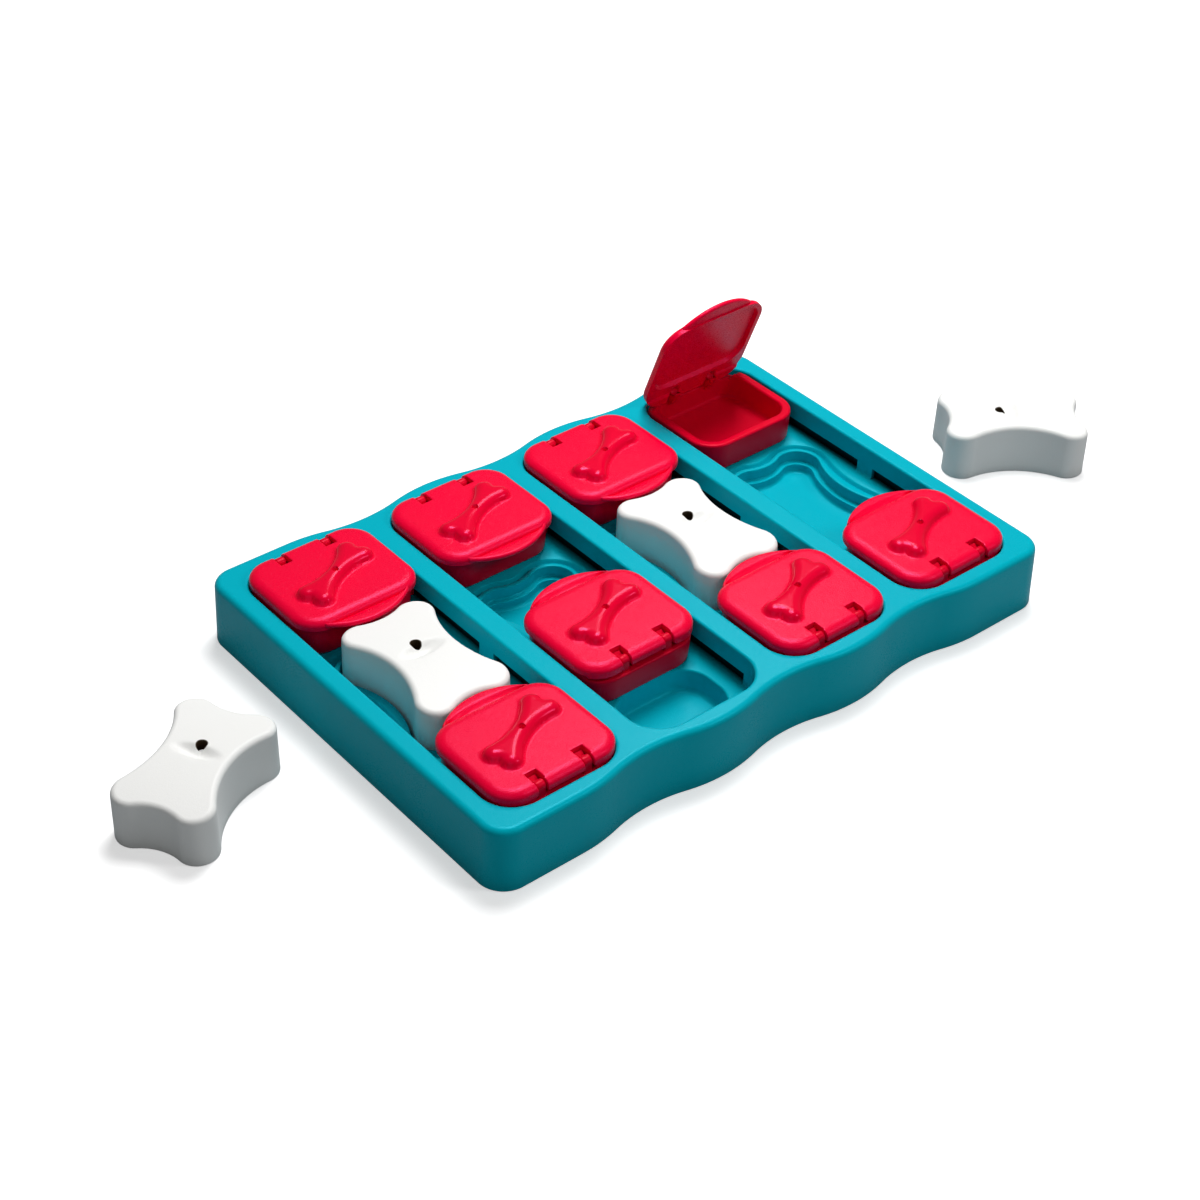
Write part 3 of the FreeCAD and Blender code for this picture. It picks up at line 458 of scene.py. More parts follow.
class Wire:
    """One output of a shader node, so that arithmetic on it reads as Python."""

    def __init__(self, shader, socket):
        self.shader, self.socket = shader, socket

    def _with(self, operation, other, swap=False):
        pair = (other, self) if swap else (self, other)
        return self.shader.node("ShaderNodeMath", {"operation": operation}, {0: pair[0], 1: pair[1]})

    def __add__(self, other):
        return self._with("ADD", other)

    def __sub__(self, other):
        return self._with("SUBTRACT", other)

    def __rsub__(self, other):
        return self._with("SUBTRACT", other, swap=True)

    def __mul__(self, other):
        return self._with("MULTIPLY", other)

    __radd__, __rmul__ = __add__, __mul__


class Finish:
    """A material and its node tree. node() adds any node: its settings first, then its inputs."""

    def __init__(self, name, tree=None):
        if tree is None:
            self.material = bpy.data.materials.new(name)
            self.material.use_nodes = True
        self.tree = tree or self.material.node_tree
        self.tree.nodes.clear()
        self.place = self.node("ShaderNodeTexCoord", output="Object")

    def node(self, kind, settings=None, inputs=None, output=0):
        made = self.tree.nodes.new(kind)
        for name, value in (settings or {}).items():
            if name == "stops":
                ends = made.color_ramp.elements
                for stop, (position, colour) in zip(ends, value):
                    stop.position, stop.color = position, (*colour, 1.0)
            else:
                setattr(made, name, value)
        for name, value in (inputs or {}).items():
            if isinstance(value, Wire):
                self.tree.links.new(value.socket, made.inputs[name])
            else:
                made.inputs[name].default_value = value
        return Wire(self, made.outputs[output])

    def noise(self, grain, detail=2.0):
        """Even noise whose cells are about grain millimetres across, from 0 to 1."""
        return self.node("ShaderNodeTexNoise", {"noise_dimensions": "3D"},
                         {"Vector": self.place, "Scale": 1 / (grain * MM), "Detail": detail})

    def blend(self, share, first, second):
        """A colour that goes from the first to the second as share goes from 0 to 1."""
        return self.node("ShaderNodeMix", {"data_type": "RGBA"}, {0: share, 6: first, 7: second}, output=2)

    def shown(self, shader, kind="ShaderNodeOutputMaterial"):
        """Link a shader to the tree's output."""
        self.tree.links.new(shader.socket, self.tree.nodes.new(kind).inputs[0])


def ink(red, green, blue):
    """A colour given as it looks on screen, from 0 to 255, as the linear numbers a shader takes."""
    shares = np.array([red, green, blue]) / 255
    linear = np.where(shares <= 0.04045, shares / 12.92, ((shares + 0.055) / 1.055) ** 2.4)
    return (*linear.tolist(), 1.0)


def moulded_plastic(name, colour, deep, sheen, gloss, rough, grain, height, painted_shade_colour=(0, 0, 0), polish=0.0):
    """Coloured plastic as it leaves the mould: two close shades in soft clouds, a spark eroded
    grain as bump, and roughness that follows the same grain. Its shine is tinted by the sheen,
    because the light enters the coloured skin before it comes back. Where the mesh's shade is 1,
    the plastic takes the painted shade colour, shade painted into its colour, has no grain, and is
    smoother by the polish."""
    finish = Finish(name)
    cloud = finish.noise(22.0, 3.0)
    pits = finish.noise(grain, 3.0)
    speck = finish.noise(grain * 3, 1.0)
    shade = finish.blend(cloud * 0.6 + pits * 0.4, ink(*colour), ink(*deep))
    painted_shade_mask = finish.node("ShaderNodeAttribute", {"attribute_name": "shade"}, output="Fac")
    # Painted shade: where the mesh's shade is 1, the colour turns to the painted shade colour.
    shade = finish.blend(painted_shade_mask, shade, ink(*painted_shade_colour))
    relief = (pits + speck * 0.5) * (1 - painted_shade_mask)
    bump = finish.node("ShaderNodeBump", None, {"Strength": 1.0, "Distance": height * MM, "Height": relief})
    roughness = pits * 0.12 + cloud * 0.08 + rough - painted_shade_mask * polish
    shader = finish.node("ShaderNodeBsdfPrincipled", None,
                         {"Base Color": shade, "Roughness": roughness, "Normal": bump, "IOR": 1.49,
                          "Specular IOR Level": gloss, "Specular Tint": ink(*sheen)})
    finish.shown(shader)
    return finish.material


def slot_painted_shade(points):
    """Painted shade: 1 at the back of the slots, whose shade is painted near black, 0 at their
    mouths and everywhere else.
    """
    away = np.abs(points[:, :1] - np.array(LANES)).min(axis=1)
    middle, half = (LANE_FLOOR + SLOT_TOP) / 2, (SLOT_TOP - LANE_FLOOR) / 2
    inside = (away < LANE_HALF + SLOT_REACH + 0.1) & (np.abs(points[:, 2] - middle) < half + 0.1)
    return np.where(inside, np.clip(away - LANE_HALF - 0.3, 0, 1), 0.0)


# Painted shade: the backs of the slots are painted near black.
teal = moulded_plastic("teal_plastic", (0, 178, 196), (0, 166, 184), (0, 215, 245), gloss=0.3,
                       rough=0.19, grain=0.5, height=0.06, painted_shade_colour=(0, 10, 12))
tray_skin, edges = Skin(), []
for place in LANES:
    share, edge = lane_skin(place)
    tray_skin.join(share)
    edges.append(edge)
tray_skin.join(outer_wall(np.concatenate(edges)))
tray = moulding("tray_moulding", tray_skin, teal, shade=slot_painted_shade(np.concatenate(tray_skin.points)))
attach(tray, "tray")
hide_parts("tray")

# ---- Boxes ----
# Eight drawer cups in dark red plastic, one at each end of each lane. Each has a tab on either side
# that runs in the lane's slot, and two eyes on its rear wall that hold the lid's pins. The rear of
# the rim is lower, so that the lid can swing.

BOX_HALF = 31.25
BOX_INNER, BOX_OUTER = 43.85, 97.75
BOX_CORNER = 14.0
BOX_FOOT = 16.7
BOX_FLOOR = 18.7
BOX_RIM = 4.6
RIM_ROUND = 1.2
FOOT_ROUND = 1.6
CUP_LEAN = math.tan(math.radians(2.5))
REAR_DROP, REAR_FROM = 2.6, 88.9
HINGE_ALONG, HINGE_UP = 93.6, 33.6
HOOK_SPREAD = 12.0
EYE_RADIUS, EYE_HALF, EYE_EDGE = 2.5, 2.1, 0.5
EYE_NOSE = 4.9
TAB = dict(half=2.5, low=56.0, high=75.05, radius=0.8, foot=BOX_FOOT, top=21.1, edge=0.7)
TAB_ACROSS = 32.35
SLIDE = 40.0


def lowered(rows):
    """The cup's points with the rear of its rim lowered: a smooth step along the box, at full
    strength at the rim and fading to nothing at the floor."""
    moved = []
    for row in rows:
        step = np.clip((row[:, 1] - REAR_FROM) / 1.4, 0, 1)
        high = np.clip((row[:, 2] - BOX_FLOOR) / (TRAY_TOP - 3.0 - BOX_FLOOR), 0, 1)
        moved.append(row - np.outer(REAR_DROP * step * step * (3 - 2 * step) * high, [0, 0, 1]))
    return moved


def cup_skin():
    """The cup as one closed profile carried round a rounded rectangle: under the foot, up the
    leaning outside, over the round rim, down the inside, and in across the floor."""
    sides = np.linspace(BOX_INNER + BOX_CORNER, BOX_OUTER - BOX_CORNER, 12)
    ring = rounded_loop(BOX_HALF, BOX_INNER, BOX_OUTER, BOX_CORNER, along=sides, across=10, turns=22)
    foot = CUP_LEAN * (TRAY_TOP - BOX_FOOT)
    rows = []
    for angle in np.linspace(0, QUARTER, 6):
        inset = foot + FOOT_ROUND * (1 - math.sin(angle))
        rows.append(level(ring.grown(-inset), BOX_FOOT + FOOT_ROUND * (1 - math.cos(angle))))
    across, down = quarter_round(RIM_ROUND)
    rows += [level(ring.grown(a - RIM_ROUND), TRAY_TOP - d) for a, d in zip(across[::-1], down[::-1])]
    rows += [level(ring.grown(RIM_ROUND - BOX_RIM - a), TRAY_TOP - d) for a, d in zip(across, down)]
    bottom = CUP_LEAN * (TRAY_TOP - BOX_FLOOR) + BOX_RIM
    for angle in np.linspace(0, QUARTER, 7):
        inset = bottom + 2.4 * (1 - math.cos(angle)) - 0.1
        rows.append(level(ring.grown(-inset), BOX_FLOOR + 2.4 * (1 - math.sin(angle))))
    middle = (BOX_INNER + BOX_OUTER) / 2
    above, below = np.array([0, middle, BOX_FLOOR]), np.array([0, middle, BOX_FOOT])
    floor = [above + share * (rows[-1] - above) for share in (0.5, 0.0)]
    sole = [below + share * (rows[0] - below) for share in (0.0, 0.5)]
    return Skin().add(lowered(sole + rows + floor), flip=True)


def bar(half, low, high, radius, foot, top, edge):
    """A block with round corners and round edges: quarter circles lead in to a flat foot and a
    flat top, each closed to its middle line."""
    ring = rounded_loop(half, low, high, radius, turns=5)
    across, down = quarter_round(edge, 4)
    rows = [level(ring.grown(a - edge), foot + d) for a, d in zip(across, down)]
    rows += [level(ring.grown(a - edge), top - d) for a, d in zip(across[::-1], down[::-1])]
    centre = np.array([0, (low + high) / 2, 0])
    ends = [np.tile(centre + [0, 0, height], (len(ring.points), 1)) for height in (foot, top)]
    return Skin().add([ends[0]] + rows + [ends[1]], flip=True)


def eye(place):
    """A hinge eye seen from the side, a half circle with a nose, on a stem that ends inside the box's
    rear wall, carried across by its width with rounded edges. The nose fills the lid's window."""
    turn = np.linspace(0, math.pi, 18)
    side = np.stack([HINGE_ALONG + EYE_RADIUS * np.cos(turn), HINGE_UP + EYE_RADIUS * np.sin(turn)], axis=1)
    facing = np.stack([np.cos(turn), np.sin(turn)], axis=1)
    stem = np.array([[-EYE_NOSE, 1.6], [-EYE_NOSE, -1.0], [-EYE_RADIUS, -4.0], [0.0, -8.0],
                     [EYE_RADIUS, -8.0]])
    stem_facing = [[-0.9, 0.7], [-0.9, -0.5], [-1, -0.3], [-1, 0], [1, 0]]
    ring = Loop(np.concatenate([side, stem + [HINGE_ALONG, HINGE_UP]]), np.concatenate([facing, stem_facing]))
    across, down = quarter_round(EYE_EDGE, 4)
    rows = [(ring.grown(a - EYE_EDGE), d - EYE_HALF) for a, d in zip(across, down)]
    rows += [(ring.grown(a - EYE_EDGE), EYE_HALF - d) for a, d in zip(across[::-1], down[::-1])]
    middle = np.tile([HINGE_ALONG, HINGE_UP], (len(ring.points), 1))
    rows = [(middle, -EYE_HALF)] + rows + [(middle, EYE_HALF)]
    return Skin().add([np.column_stack([np.full(len(r), place + out), r]) for r, out in rows], flip=True)


def turned(skin, half_turn, angle=0.0, hinge=(0.0, 0.0)):
    """A copy of a skin turned half round about the upright axis, and about a level axis through
    a point given along and up, by an angle that lifts its inner end."""
    points = np.concatenate(skin.points)
    away = points[:, 1:] - hinge
    cos, sin = math.cos(-angle), math.sin(-angle)
    swung = np.stack([away[:, 0] * cos - away[:, 1] * sin, away[:, 0] * sin + away[:, 1] * cos], axis=1)
    points = np.column_stack([points[:, 0], swung + hinge])
    copy = Skin()
    copy.points = [points * [-1, -1, 1] if half_turn else points]
    copy.faces, copy.count = list(skin.faces), skin.count
    return copy


box_skin = cup_skin()
for sign in (-1, 1):
    box_skin.join(bar(**TAB).moved(across=sign * TAB_ACROSS))
    box_skin.join(eye(sign * HOOK_SPREAD))

crimson = moulded_plastic("crimson_plastic", (226, 0, 44), (206, 0, 36), (255, 70, 110), gloss=0.35,
                          rough=0.2, grain=0.5, height=0.05)
ENDS = [(lane, end) for lane in range(4) for end in ("far", "near")]
SLID_BOX = (1, "near")
for lane, end in ENDS:
    name = f"box_{end}_{lane + 1}"
    along = SLIDE if (lane, end) == SLID_BOX else 0.0
    skin = turned(box_skin, end == "near").moved(LANES[lane], along)
    box = moulding(name + "_cup", skin, crimson)
    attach(box, name)
    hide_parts(name)

# ---- Lids ----
# Eight lids in bright red plastic, each a flat plate with rounded edges and a turned down skirt, a
# lip at the front a step lower, and a raised bone with a dimple at its waist. Two windows at the
# rear let the box's eyes through, and a pin across each window clips into its eye.

LID_FRONT, LID_REAR = -51.6, 3.5
LID_HALF = 32.1
LID_CORNER = 13.0
LID_UNDER, LID_OVER = -1.3, 3.5
LID_ROUND, LID_FALL = 5.0, 3.3
SKIRT = 3.0
RECESS = 2.0
REAR_SKIRT = 1.0
WINDOW = 5.8
HOOK_SLOT = 5.0
LIP_HALF, LIP_REACH = 22.0, 8.0
LIP_TOP, LIP_UNDER = 2.0, -0.5
LIP_GROOVE = 1.5
LIP_ROOT = 4.0
EMBLEM = dict(side=3.9, end=17.8, lobe=4.8, waist=4.3, tip=21.2)
EMBLEM_ALONG = (LID_FRONT + LID_REAR) / 2 - 2.5
EMBLEM_TURN = math.radians(-63.4)
EMBLEM_HEIGHT, EMBLEM_ROOT = 3.9, 0.5
DIMPLE_DEEP, DIMPLE_RADIUS, DIMPLE_EASE = 2.6, 1.6, 0.8
PLAN_CORE, PLAN_STEP = 18.0, 0.55
PIN_RADIUS, PIN_HALF = 1.3, 3.6
OPEN_LID, LID_OPEN = (3, "far"), math.radians(70)


def inside_plate(across, along, inset=0.0, rear=LID_REAR):
    """How deep a point lies inside the plate's outline, a rounded rectangle, by the usual formula:
    the corner radius less the distance from the rectangle of the corners' centres."""
    radius = LID_CORNER - inset
    middle, half = (LID_FRONT + inset + rear) / 2, (rear - LID_FRONT - inset) / 2
    out = np.abs(across) - (LID_HALF - inset - radius)
    up = np.abs(along - middle) - (half - radius)
    return radius - np.hypot(np.maximum(out, 0), np.maximum(up, 0)) - np.minimum(np.maximum(out, up), 0)


def inside_emblem(across, along):
    """How deep a point lies inside the raised bone: from its side's and its end's hollow arcs in
    their own sectors, and from its lobe's arc elsewhere."""
    cos, sin = math.cos(-EMBLEM_TURN), math.sin(-EMBLEM_TURN)
    away = along - EMBLEM_ALONG
    x, y = np.abs(across * cos - away * sin), np.abs(across * sin + away * cos)
    side, end, lobe = EMBLEM["side"], EMBLEM["end"], EMBLEM["lobe"]
    dent, bay = EMBLEM["waist"] - side, EMBLEM["tip"] - end
    side_arc = (dent ** 2 + end ** 2 - lobe ** 2) / (2 * (lobe - dent))
    end_arc = (bay ** 2 + side ** 2 - lobe ** 2) / (2 * (lobe - bay))
    side_x, end_y = EMBLEM["waist"] + side_arc, EMBLEM["tip"] + end_arc
    by_side = (side_x - x) * end - y * (side_x - side) > 0
    by_end = x * (end_y - end) - (end_y - y) * side < 0
    deep_side = np.hypot(x - side_x, y) - side_arc
    deep_end = np.hypot(x, y - end_y) - end_arc
    deep = np.where(by_side, deep_side, lobe - np.hypot(x - side, y - end))
    return np.where(by_end, np.minimum(deep_end, deep_side), deep)


def rounded_edge(deep, radius, fall):
    """How far a rounded edge has dropped at a depth inside the outline: a quarter of an ellipse,
    as wide as the radius and as high as the fall."""
    near = np.clip(1 - deep / radius, 0, 1)
    return fall * (1 - np.sqrt(1 - near ** 2))


def eased(share):
    """A smooth step from 0 to 1."""
    share = np.clip(share, 0, 1)
    return share * share * (3 - 2 * share)


def window_depth(across, along):
    """How far a point lies from the window and the slot behind it, both rectangles."""
    out = np.abs(np.abs(across) - HOOK_SPREAD)
    window = np.maximum(out - WINDOW / 2, np.abs(along + WINDOW / 2) - WINDOW / 2)
    slot = np.maximum(out - HOOK_SLOT / 2, -along)
    return np.minimum(window, slot)


def lid_top(across, along):
    """The plate's upper face: flat, a quarter round at its edge, the raised bone with round
    shoulders and a soft root, its dimple, and softened window edges."""
    height = LID_OVER - rounded_edge(inside_plate(across, along), LID_ROUND, LID_FALL)
    deep = inside_emblem(across, along)
    shoulder = np.clip(deep / EMBLEM["lobe"], 0, 1)
    dome = np.sqrt(1 - (1 - shoulder) ** 2)
    raised = EMBLEM_ROOT * eased((deep + 1.1) / 1.1) + (EMBLEM_HEIGHT - EMBLEM_ROOT) * dome
    out = np.hypot(across, along - EMBLEM_ALONG)
    dimple = DIMPLE_DEEP * eased((DIMPLE_RADIUS - out) / DIMPLE_EASE)
    soft = rounded_edge(window_depth(across, along), 0.5, 0.5)
    return height + raised - dimple - soft


def lid_under(across, along):
    """The lower face: the skirt's flat foot and, inside it, a shallow recess with eased walls. At
    the rear, beyond the windows, the skirt reaches lower."""
    deep = inside_plate(across, along, inset=SKIRT, rear=-WINDOW - SKIRT)
    tail = REAR_SKIRT * eased((along + 3.0) / 1.5) * eased((np.abs(across) - HOOK_SPREAD - WINDOW / 2) / 0.8)
    return LID_UNDER + RECESS * eased(deep / 0.9 + 0.5) - tail


def plan_grid():
    """The plate's plan as rows of points. Within 18 mm of the middle the columns are straight, so
    that some run along the windows; beyond that they spread to the outline's width at each row."""
    marks = [HOOK_SPREAD + s * w / 2 for s in (-1, 1) for w in (WINDOW, HOOK_SLOT)]
    near = np.concatenate([[m - 0.5, m - 0.2, m, m + 0.2, m + 0.5] for m in marks] + [[0, PLAN_CORE]])
    steps = np.arange(0.0, PLAN_CORE, PLAN_STEP)
    steps = steps[np.abs(steps[:, None] - near).min(axis=1) > 0.2]
    core = np.unique(np.round(np.concatenate([steps, near]), 4))
    core = np.concatenate([-core[:0:-1], core])
    spread = 1 - (1 - np.linspace(0, 1, 26)) ** 1.5
    ends = 1 - np.cos(np.linspace(0, QUARTER, 30))
    marks = np.array([-WINDOW, 0.0])
    near = np.concatenate([marks + d for d in (-0.5, -0.2, 0.0, 0.2, 0.5)])
    steps = np.concatenate([LID_FRONT + LID_CORNER * ends, np.arange(-38.0, -8.0, PLAN_STEP),
                            LID_REAR - LID_CORNER * ends])
    steps = steps[np.abs(steps[:, None] - near).min(axis=1) > 0.15]
    rows = np.unique(np.round(np.concatenate([steps, near]), 4))
    past = np.maximum(np.maximum(rows - (LID_REAR - LID_CORNER), LID_FRONT + LID_CORNER - rows), 0)
    width = LID_HALF - LID_CORNER + np.sqrt(np.maximum(LID_CORNER ** 2 - past ** 2, 0))
    outer = PLAN_CORE + np.outer(width - PLAN_CORE, spread[1:])
    across = np.hstack([-outer[:, ::-1], np.tile(core, (len(rows), 1)), outer])
    return across, np.broadcast_to(rows[:, None], across.shape)


def plate_skin():
    """The plate between its two faces over one plan. Cells in a window or its slot are left out,
    and each edge that only one cell has then joins the upper face to the lower by a wall."""
    across, along = plan_grid()
    top = np.stack([across, along, lid_top(across, along)], axis=-1).reshape(-1, 3)
    under = np.stack([across, along, lid_under(across, along)], axis=-1).reshape(-1, 3)
    height, width = across.shape
    index = np.arange(height * width).reshape(height, width)
    cells = np.stack([index[:-1, :-1], index[:-1, 1:], index[1:, 1:], index[1:, :-1]], axis=-1).reshape(-1, 4)
    middle = top[cells].mean(axis=1)
    cells = cells[window_depth(middle[:, 0], middle[:, 1]) > 0]
    edges = np.stack([cells, np.roll(cells, -1, axis=1)], axis=-1).reshape(-1, 2)
    _, back, uses = np.unique(np.sort(edges, axis=1), axis=0, return_inverse=True, return_counts=True)
    rim = edges[uses[back.reshape(-1)] == 1]
    count = height * width
    skin = Skin()
    skin.points = [top, under]
    skin.faces = [cells, cells[:, ::-1] + count,
                  np.stack([rim[:, 1], rim[:, 0], rim[:, 0] + count, rim[:, 1] + count], axis=1)]
    skin.count = 2 * count
    return skin


def lip_skin():
    """The lip: its plan is a shallow arc from corner to corner that bulges past the plate's front,
    carried from a groove beside the plate over a round back and round the tip to its lower face."""
    radius = (LIP_HALF ** 2 + LIP_REACH ** 2) / (2 * LIP_REACH)
    across = LIP_HALF * np.sin(np.linspace(-QUARTER, QUARTER, 61))
    reach = np.sqrt(radius ** 2 - across ** 2) - radius + LIP_REACH
    slope = np.stack([across, -np.sqrt(radius ** 2 - across ** 2)], axis=1) / radius
    tip = np.column_stack([across, LID_FRONT - reach])
    root = np.column_stack([across, np.full(61, LID_FRONT + LIP_ROOT)])
    rows = [level(root, LIP_TOP - LIP_GROOVE)]
    middle, half = (LIP_TOP + LIP_UNDER) / 2, (LIP_TOP - LIP_UNDER) / 2
    for share in np.linspace(0, 0.78, 12):
        rows.append(level(np.column_stack([across, LID_FRONT - share * (reach - half)]),
                          LIP_TOP - LIP_GROOVE * (1 - eased(share / 0.6))))
    for angle in np.linspace(QUARTER, -QUARTER, 13):
        ahead = (math.cos(angle) - 1) * half
        rows.append(level(tip + ahead * slope, middle + half * math.sin(angle)))
    rows.append(level(root, LIP_UNDER))
    return Skin().add(rows, closed=False, flip=True)


def pin_skin(place):
    """A hinge pin: a circle carried across one window and into the plate at each side."""
    turn = np.linspace(0, 2 * math.pi, 24, endpoint=False)
    ring = np.stack([PIN_RADIUS * np.cos(turn), PIN_RADIUS * np.sin(turn)], axis=1)
    rows = [np.column_stack([np.full(24, place + out), share * ring])
            for out, share in ((-PIN_HALF, 0), (-PIN_HALF, 1), (PIN_HALF, 1), (PIN_HALF, 0))]
    return Skin().add(rows, flip=True)


lid_skin = plate_skin().join(lip_skin())
for sign in (-1, 1):
    lid_skin.join(pin_skin(sign * HOOK_SPREAD))

emblem = np.concatenate(lid_skin.points)
# Painted shade: the raised bone is painted a deeper red for the sheen it lacks; its smoother top without
# grain is the plastic's own finish.
emblem_painted_shade = eased((inside_emblem(emblem[:, 0], emblem[:, 1]) + 0.4) / 0.8) * (emblem[:, 2] > LID_OVER - 0.1)
scarlet = moulded_plastic("scarlet_plastic", (250, 0, 58), (238, 0, 48), (255, 90, 165), gloss=0.5,
                          rough=0.18, grain=0.5, height=0.11, painted_shade_colour=(232, 0, 48), polish=0.08)
for lane, end in ENDS:
    name = f"lid_{end}_{lane + 1}"
    along = SLIDE if (lane, end) == SLID_BOX else 0.0
    angle = LID_OPEN if (lane, end) == OPEN_LID else 0.0
    skin = turned(lid_skin, False, angle).moved(0, HINGE_ALONG, HINGE_UP)
    skin = turned(skin, end == "near").moved(LANES[lane], along)
    lid = moulding(name + "_plate", skin, scarlet, shade=emblem_painted_shade)
    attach(lid, name)
    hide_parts(name)

# ---- Bone blocks ----
# Four hollow blocks in white plastic, bone shaped seen from above, with a crowned top, a finger
# grip across the waist and a scent hole through the top beside it. Two stand on the ledges of their
# wells, and two lie loose beside the tray.

BONE_TOP, BONE_CROWN = 24.1, 2.5
BONE_ROUND = 2.6
BONE_WALL = 2.4
BONE_ROOF = 3.0
GRIP = np.array([13.0, 5.0, 3.2])
GRIP_ALONG = 1.7
SCENT_ALONG, SCENT_RADIUS = 6.7, 2.3


def bone_top(points):
    """The crowned top as height over plan: an arc along the block, less the grip, a soft hollow
    whose depth falls off with the square of one less the distance squared."""
    reach = WELL_BONE["end"] + WELL_BONE["lobe"]
    crown = BONE_CROWN * (1 - (points[:, 1] / reach) ** 2)
    away = np.hypot(points[:, 0] / GRIP[0], (points[:, 1] - GRIP_ALONG) / GRIP[1])
    return BONE_TOP + crown - GRIP[2] * np.maximum(1 - away ** 2, 0) ** 2


def spread_rows(loop, centre, radius, shares):
    """Flat rows between a circle and the block's outline: a curve with one bend from the circle,
    past a slim loop half way to the middle line, out to the outline."""
    middle = np.column_stack([np.zeros(len(loop)), np.clip(loop[:, 1], -22.0, 22.0)])
    slim = middle + 0.45 * (loop - middle)
    ray = slim - centre
    circle = centre + radius * ray / np.linalg.norm(ray, axis=1)[:, None]
    return [(1 - s) ** 2 * circle + 2 * s * (1 - s) * slim + s * s * loop for s in shares]


def block_skin():
    """The block as one closed profile carried round the bone outline: the hollow's roof out to its
    wall, down to the foot, up the flared outside, over the rounded edge, in across the crowned
    top to the scent hole and down through it."""
    ring = bone_loop(**WELL_BONE, waist=BONE_WAIST, turns=26)
    scent = np.array([0.0, SCENT_ALONG])
    roof = BONE_TOP - BONE_ROOF
    inner = BONE_FLARE - BONE_WALL
    shares = np.linspace(0, 1, 8)
    rows = [level(flat, roof) for flat in spread_rows(ring.grown(inner), scent, SCENT_RADIUS, shares)]
    rows += [level(ring.grown(inner), height) for height in (12.0, 0.4)]
    rows.append(level(ring.grown(inner + 0.4), 0.0))
    across, down = quarter_round(0.6, 4)
    rows += [level(ring.grown(BONE_FLARE + a - 0.6), d) for a, d in zip(across, down)]
    for height in np.linspace(4.0, BONE_TOP - BONE_ROUND - 2.0, 4):
        rows.append(level(ring.grown(BONE_FLARE * (1 - height / BONE_TOP)), height))
    edge = ring.grown(-BONE_ROUND)
    for angle in np.linspace(0, QUARTER, 9)[:-1]:
        flat = ring.grown(-BONE_ROUND * (1 - math.cos(angle)))
        rows.append(level(flat, bone_top(edge) - BONE_ROUND * (1 - math.sin(angle))))
    for flat in spread_rows(edge, scent, SCENT_RADIUS + 0.5, np.linspace(1, 0, 46)):
        rows.append(level(flat, bone_top(flat)))
    out = rows[-1][:, :2] - scent
    out /= np.linalg.norm(out, axis=1)[:, None]
    for angle in np.linspace(0, QUARTER, 5)[1:]:
        flat = scent + (SCENT_RADIUS + 0.5 * (1 - math.sin(angle))) * out
        rows.append(level(flat, rows[-1][:, 2] - 0.5 * (math.cos(angle - QUARTER / 4) - math.cos(angle))))
    rows += [level(rows[-1][:, :2], BONE_TOP), rows[0]]
    return Skin().add(rows, flip=True)


def scent_hole_painted_shade(points):
    """Painted shade: 1 down inside the scent hole, whose shade is painted dark brown, and 0
    elsewhere.
    """
    out = np.hypot(points[:, 0], points[:, 1] - SCENT_ALONG)
    deep = np.clip(SCENT_RADIUS + 0.45 - out, 0, 0.3) / 0.3
    return np.where((out < SCENT_RADIUS + 0.6) & (points[:, 2] > 0), deep, 0.0)


# Painted shade: the scent hole is painted dark brown.
white = moulded_plastic("bone_white_plastic", (247, 247, 245), (241, 241, 238), (255, 255, 255), gloss=0.3,
                        rough=0.34, grain=0.5, height=0.05, painted_shade_colour=(60, 46, 30))
block = block_skin()
block_painted_shade = scent_hole_painted_shade(np.concatenate(block.points))
SEAT_GAP = 0.2
SEAT = WELL_LEDGE + SEAT_GAP
BLOCKS = [("bone_lane_1", LANES[0], 0.0, SEAT, 0.0), ("bone_lane_3", LANES[2], 0.0, SEAT, 0.0),
          ("bone_loose_left", -222.9, 14.6, 0.0, -60.0), ("bone_loose_right", 239.0, -15.0, 0.0, 53.0)]
for name, across, along, up, turn in BLOCKS:
    cos, sin = math.cos(math.radians(turn)), math.sin(math.radians(turn))
    skin = Skin()
    spin = np.array([[cos, sin, 0], [-sin, cos, 0], [0, 0, 1]])
    skin.points, skin.faces, skin.count = [np.concatenate(block.points) @ spin], block.faces, block.count
    piece = moulding(name + "_block", skin.moved(across, along, up), white, shade=block_painted_shade)
    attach(piece, name)
    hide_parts(name)

# ---- Floor, light and camera ----
# A plain white floor that keeps the soft shadow, a broad soft lamp high at the rear right, a small
# one lower for the near lids' sheen, one at the front right for the bright line along the rounded
# edges, a weak one at the front left, and the camera where the photograph was taken.

FLOOR_HALF = 6
floor_mesh = bpy.data.meshes.new("floor")
corners = [(x * FLOOR_HALF, y * FLOOR_HALF, 0) for x, y in ((-1, -1), (1, -1), (1, 1), (-1, 1))]
floor_mesh.from_pydata(corners, [], [(0, 1, 2, 3)])
floor = bpy.data.objects.new("floor", floor_mesh)
bpy.context.scene.collection.objects.link(floor)
paper = Finish("white_floor")
straight = paper.node("ShaderNodeLightPath", output="Is Camera Ray")
matt = paper.node("ShaderNodeBsdfDiffuse", None,
                  {"Color": paper.blend(straight, (0.3, 0.33, 0.35, 1), (0.8, 0.8, 0.8, 1))})
glow = paper.node("ShaderNodeEmission", None, {"Color": (1, 1, 1, 1), "Strength": straight * 0.5})
paper.shown(paper.node("ShaderNodeAddShader", None, {0: matt, 1: glow}))
floor_mesh.materials.append(paper.material)

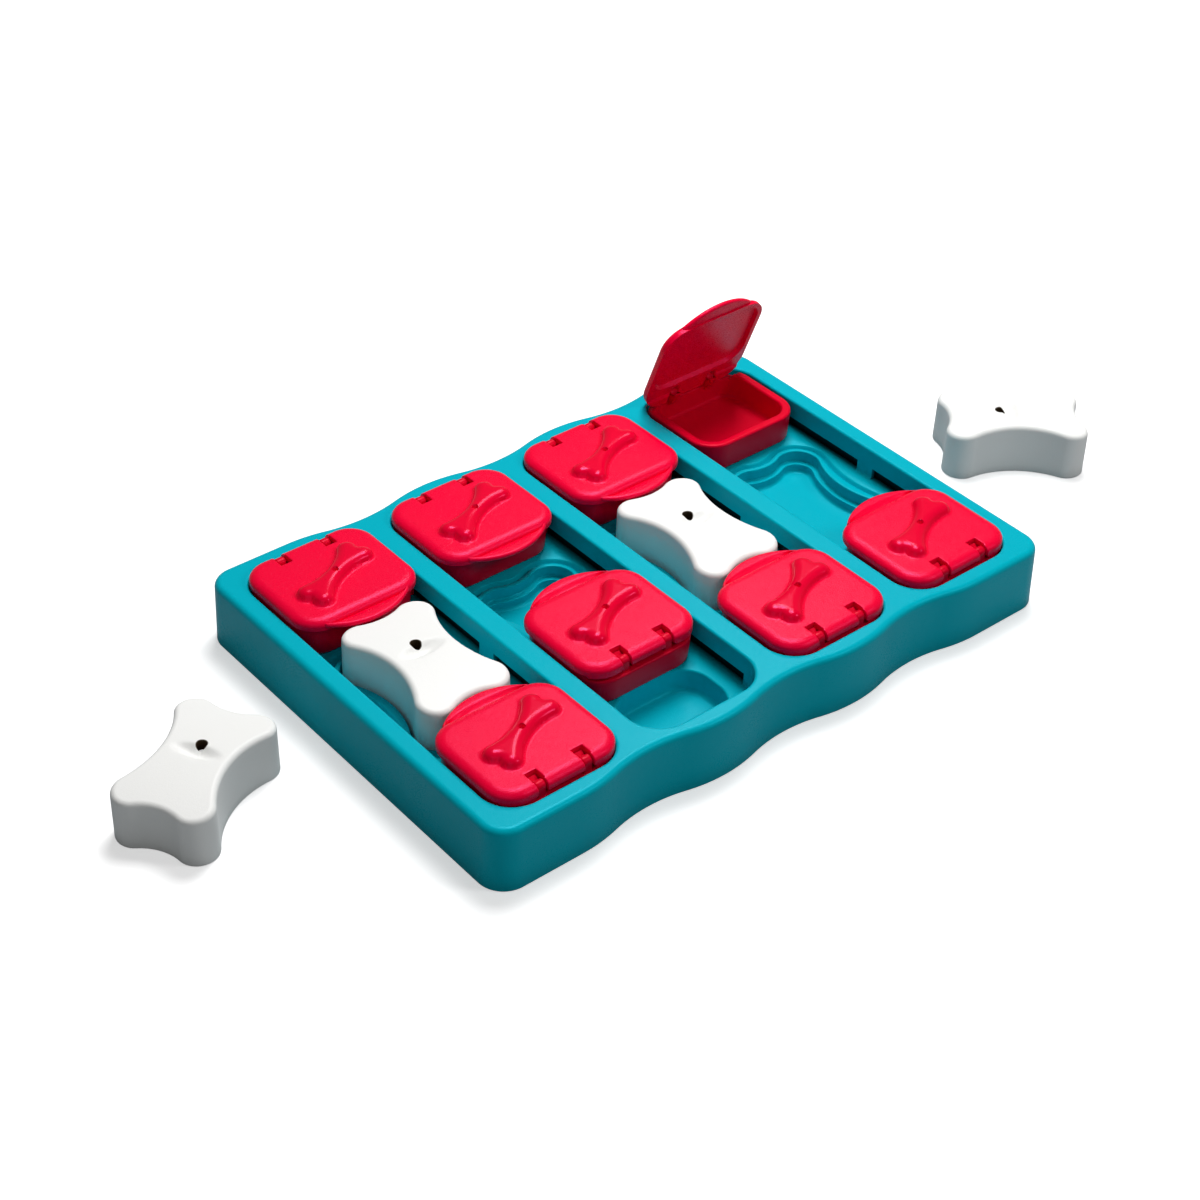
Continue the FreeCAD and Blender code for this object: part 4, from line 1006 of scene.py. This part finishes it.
world = bpy.data.worlds.new("studio")
bpy.context.scene.world = world
world.use_nodes = True
sky = Finish("sky", world.node_tree)
straight = sky.node("ShaderNodeLightPath", output="Is Camera Ray")
sky.shown(sky.node("ShaderNodeBackground", None, {"Color": (1, 1, 1, 1), "Strength": straight * 0.89 + 0.11}),
          "ShaderNodeOutputWorld")


def lamp(name, place, aim, size, power):
    """A square soft lamp at a place, turned to a point that it lights."""
    light = bpy.data.lights.new(name, "AREA")
    light.size, light.energy = size, power
    made = bpy.data.objects.new(name, light)
    made.location = place
    made.rotation_euler = (Vector(aim) - Vector(place)).to_track_quat("-Z", "Y").to_euler()
    bpy.context.scene.collection.objects.link(made)


lamp("key", (0.32, 0.28, 1.25), (0, 0, 0), 0.5, 14.0)
lamp("sheen", (0.38, 0.30, 0.62), (0, 0, 0), 0.2, 1.0)
lamp("front", (0.6, -0.8, 0.9), (0, 0, 0), 0.3, 3.2)
lamp("fill", (-0.9, -0.7, 0.9), (0, 0, 0), 0.9, 1.6)

AZIMUTH, ELEVATION, ROLL = map(math.radians, (-40.70, 37.88, 1.88))
DISTANCE, TARGET = 1.0899, Vector((-0.00352, 0.01763, 0.0))
FOCAL_PIXELS, PHOTO_PIXELS = 2338.44, 1200
level_share = math.cos(ELEVATION)
back = Vector((math.sin(AZIMUTH) * level_share, -math.cos(AZIMUTH) * level_share, math.sin(ELEVATION)))
right = (-back).cross(Vector((0, 0, 1))).normalized()
up = right.cross(-back)
across = math.cos(ROLL) * right + math.sin(ROLL) * up
upright = math.cos(ROLL) * up - math.sin(ROLL) * right
lens = bpy.data.cameras.new("camera")
lens.sensor_width = 36.0
lens.lens = FOCAL_PIXELS / PHOTO_PIXELS * lens.sensor_width
lens.clip_start, lens.clip_end = 0.01, 100.0
camera = bpy.data.objects.new("camera", lens)
turn = Matrix((across, upright, back)).transposed().to_4x4()
camera.matrix_world = Matrix.Translation(TARGET + DISTANCE * back) @ turn
bpy.context.scene.collection.objects.link(camera)
bpy.context.scene.camera = camera
bpy.context.scene.view_settings.view_transform = "Standard"
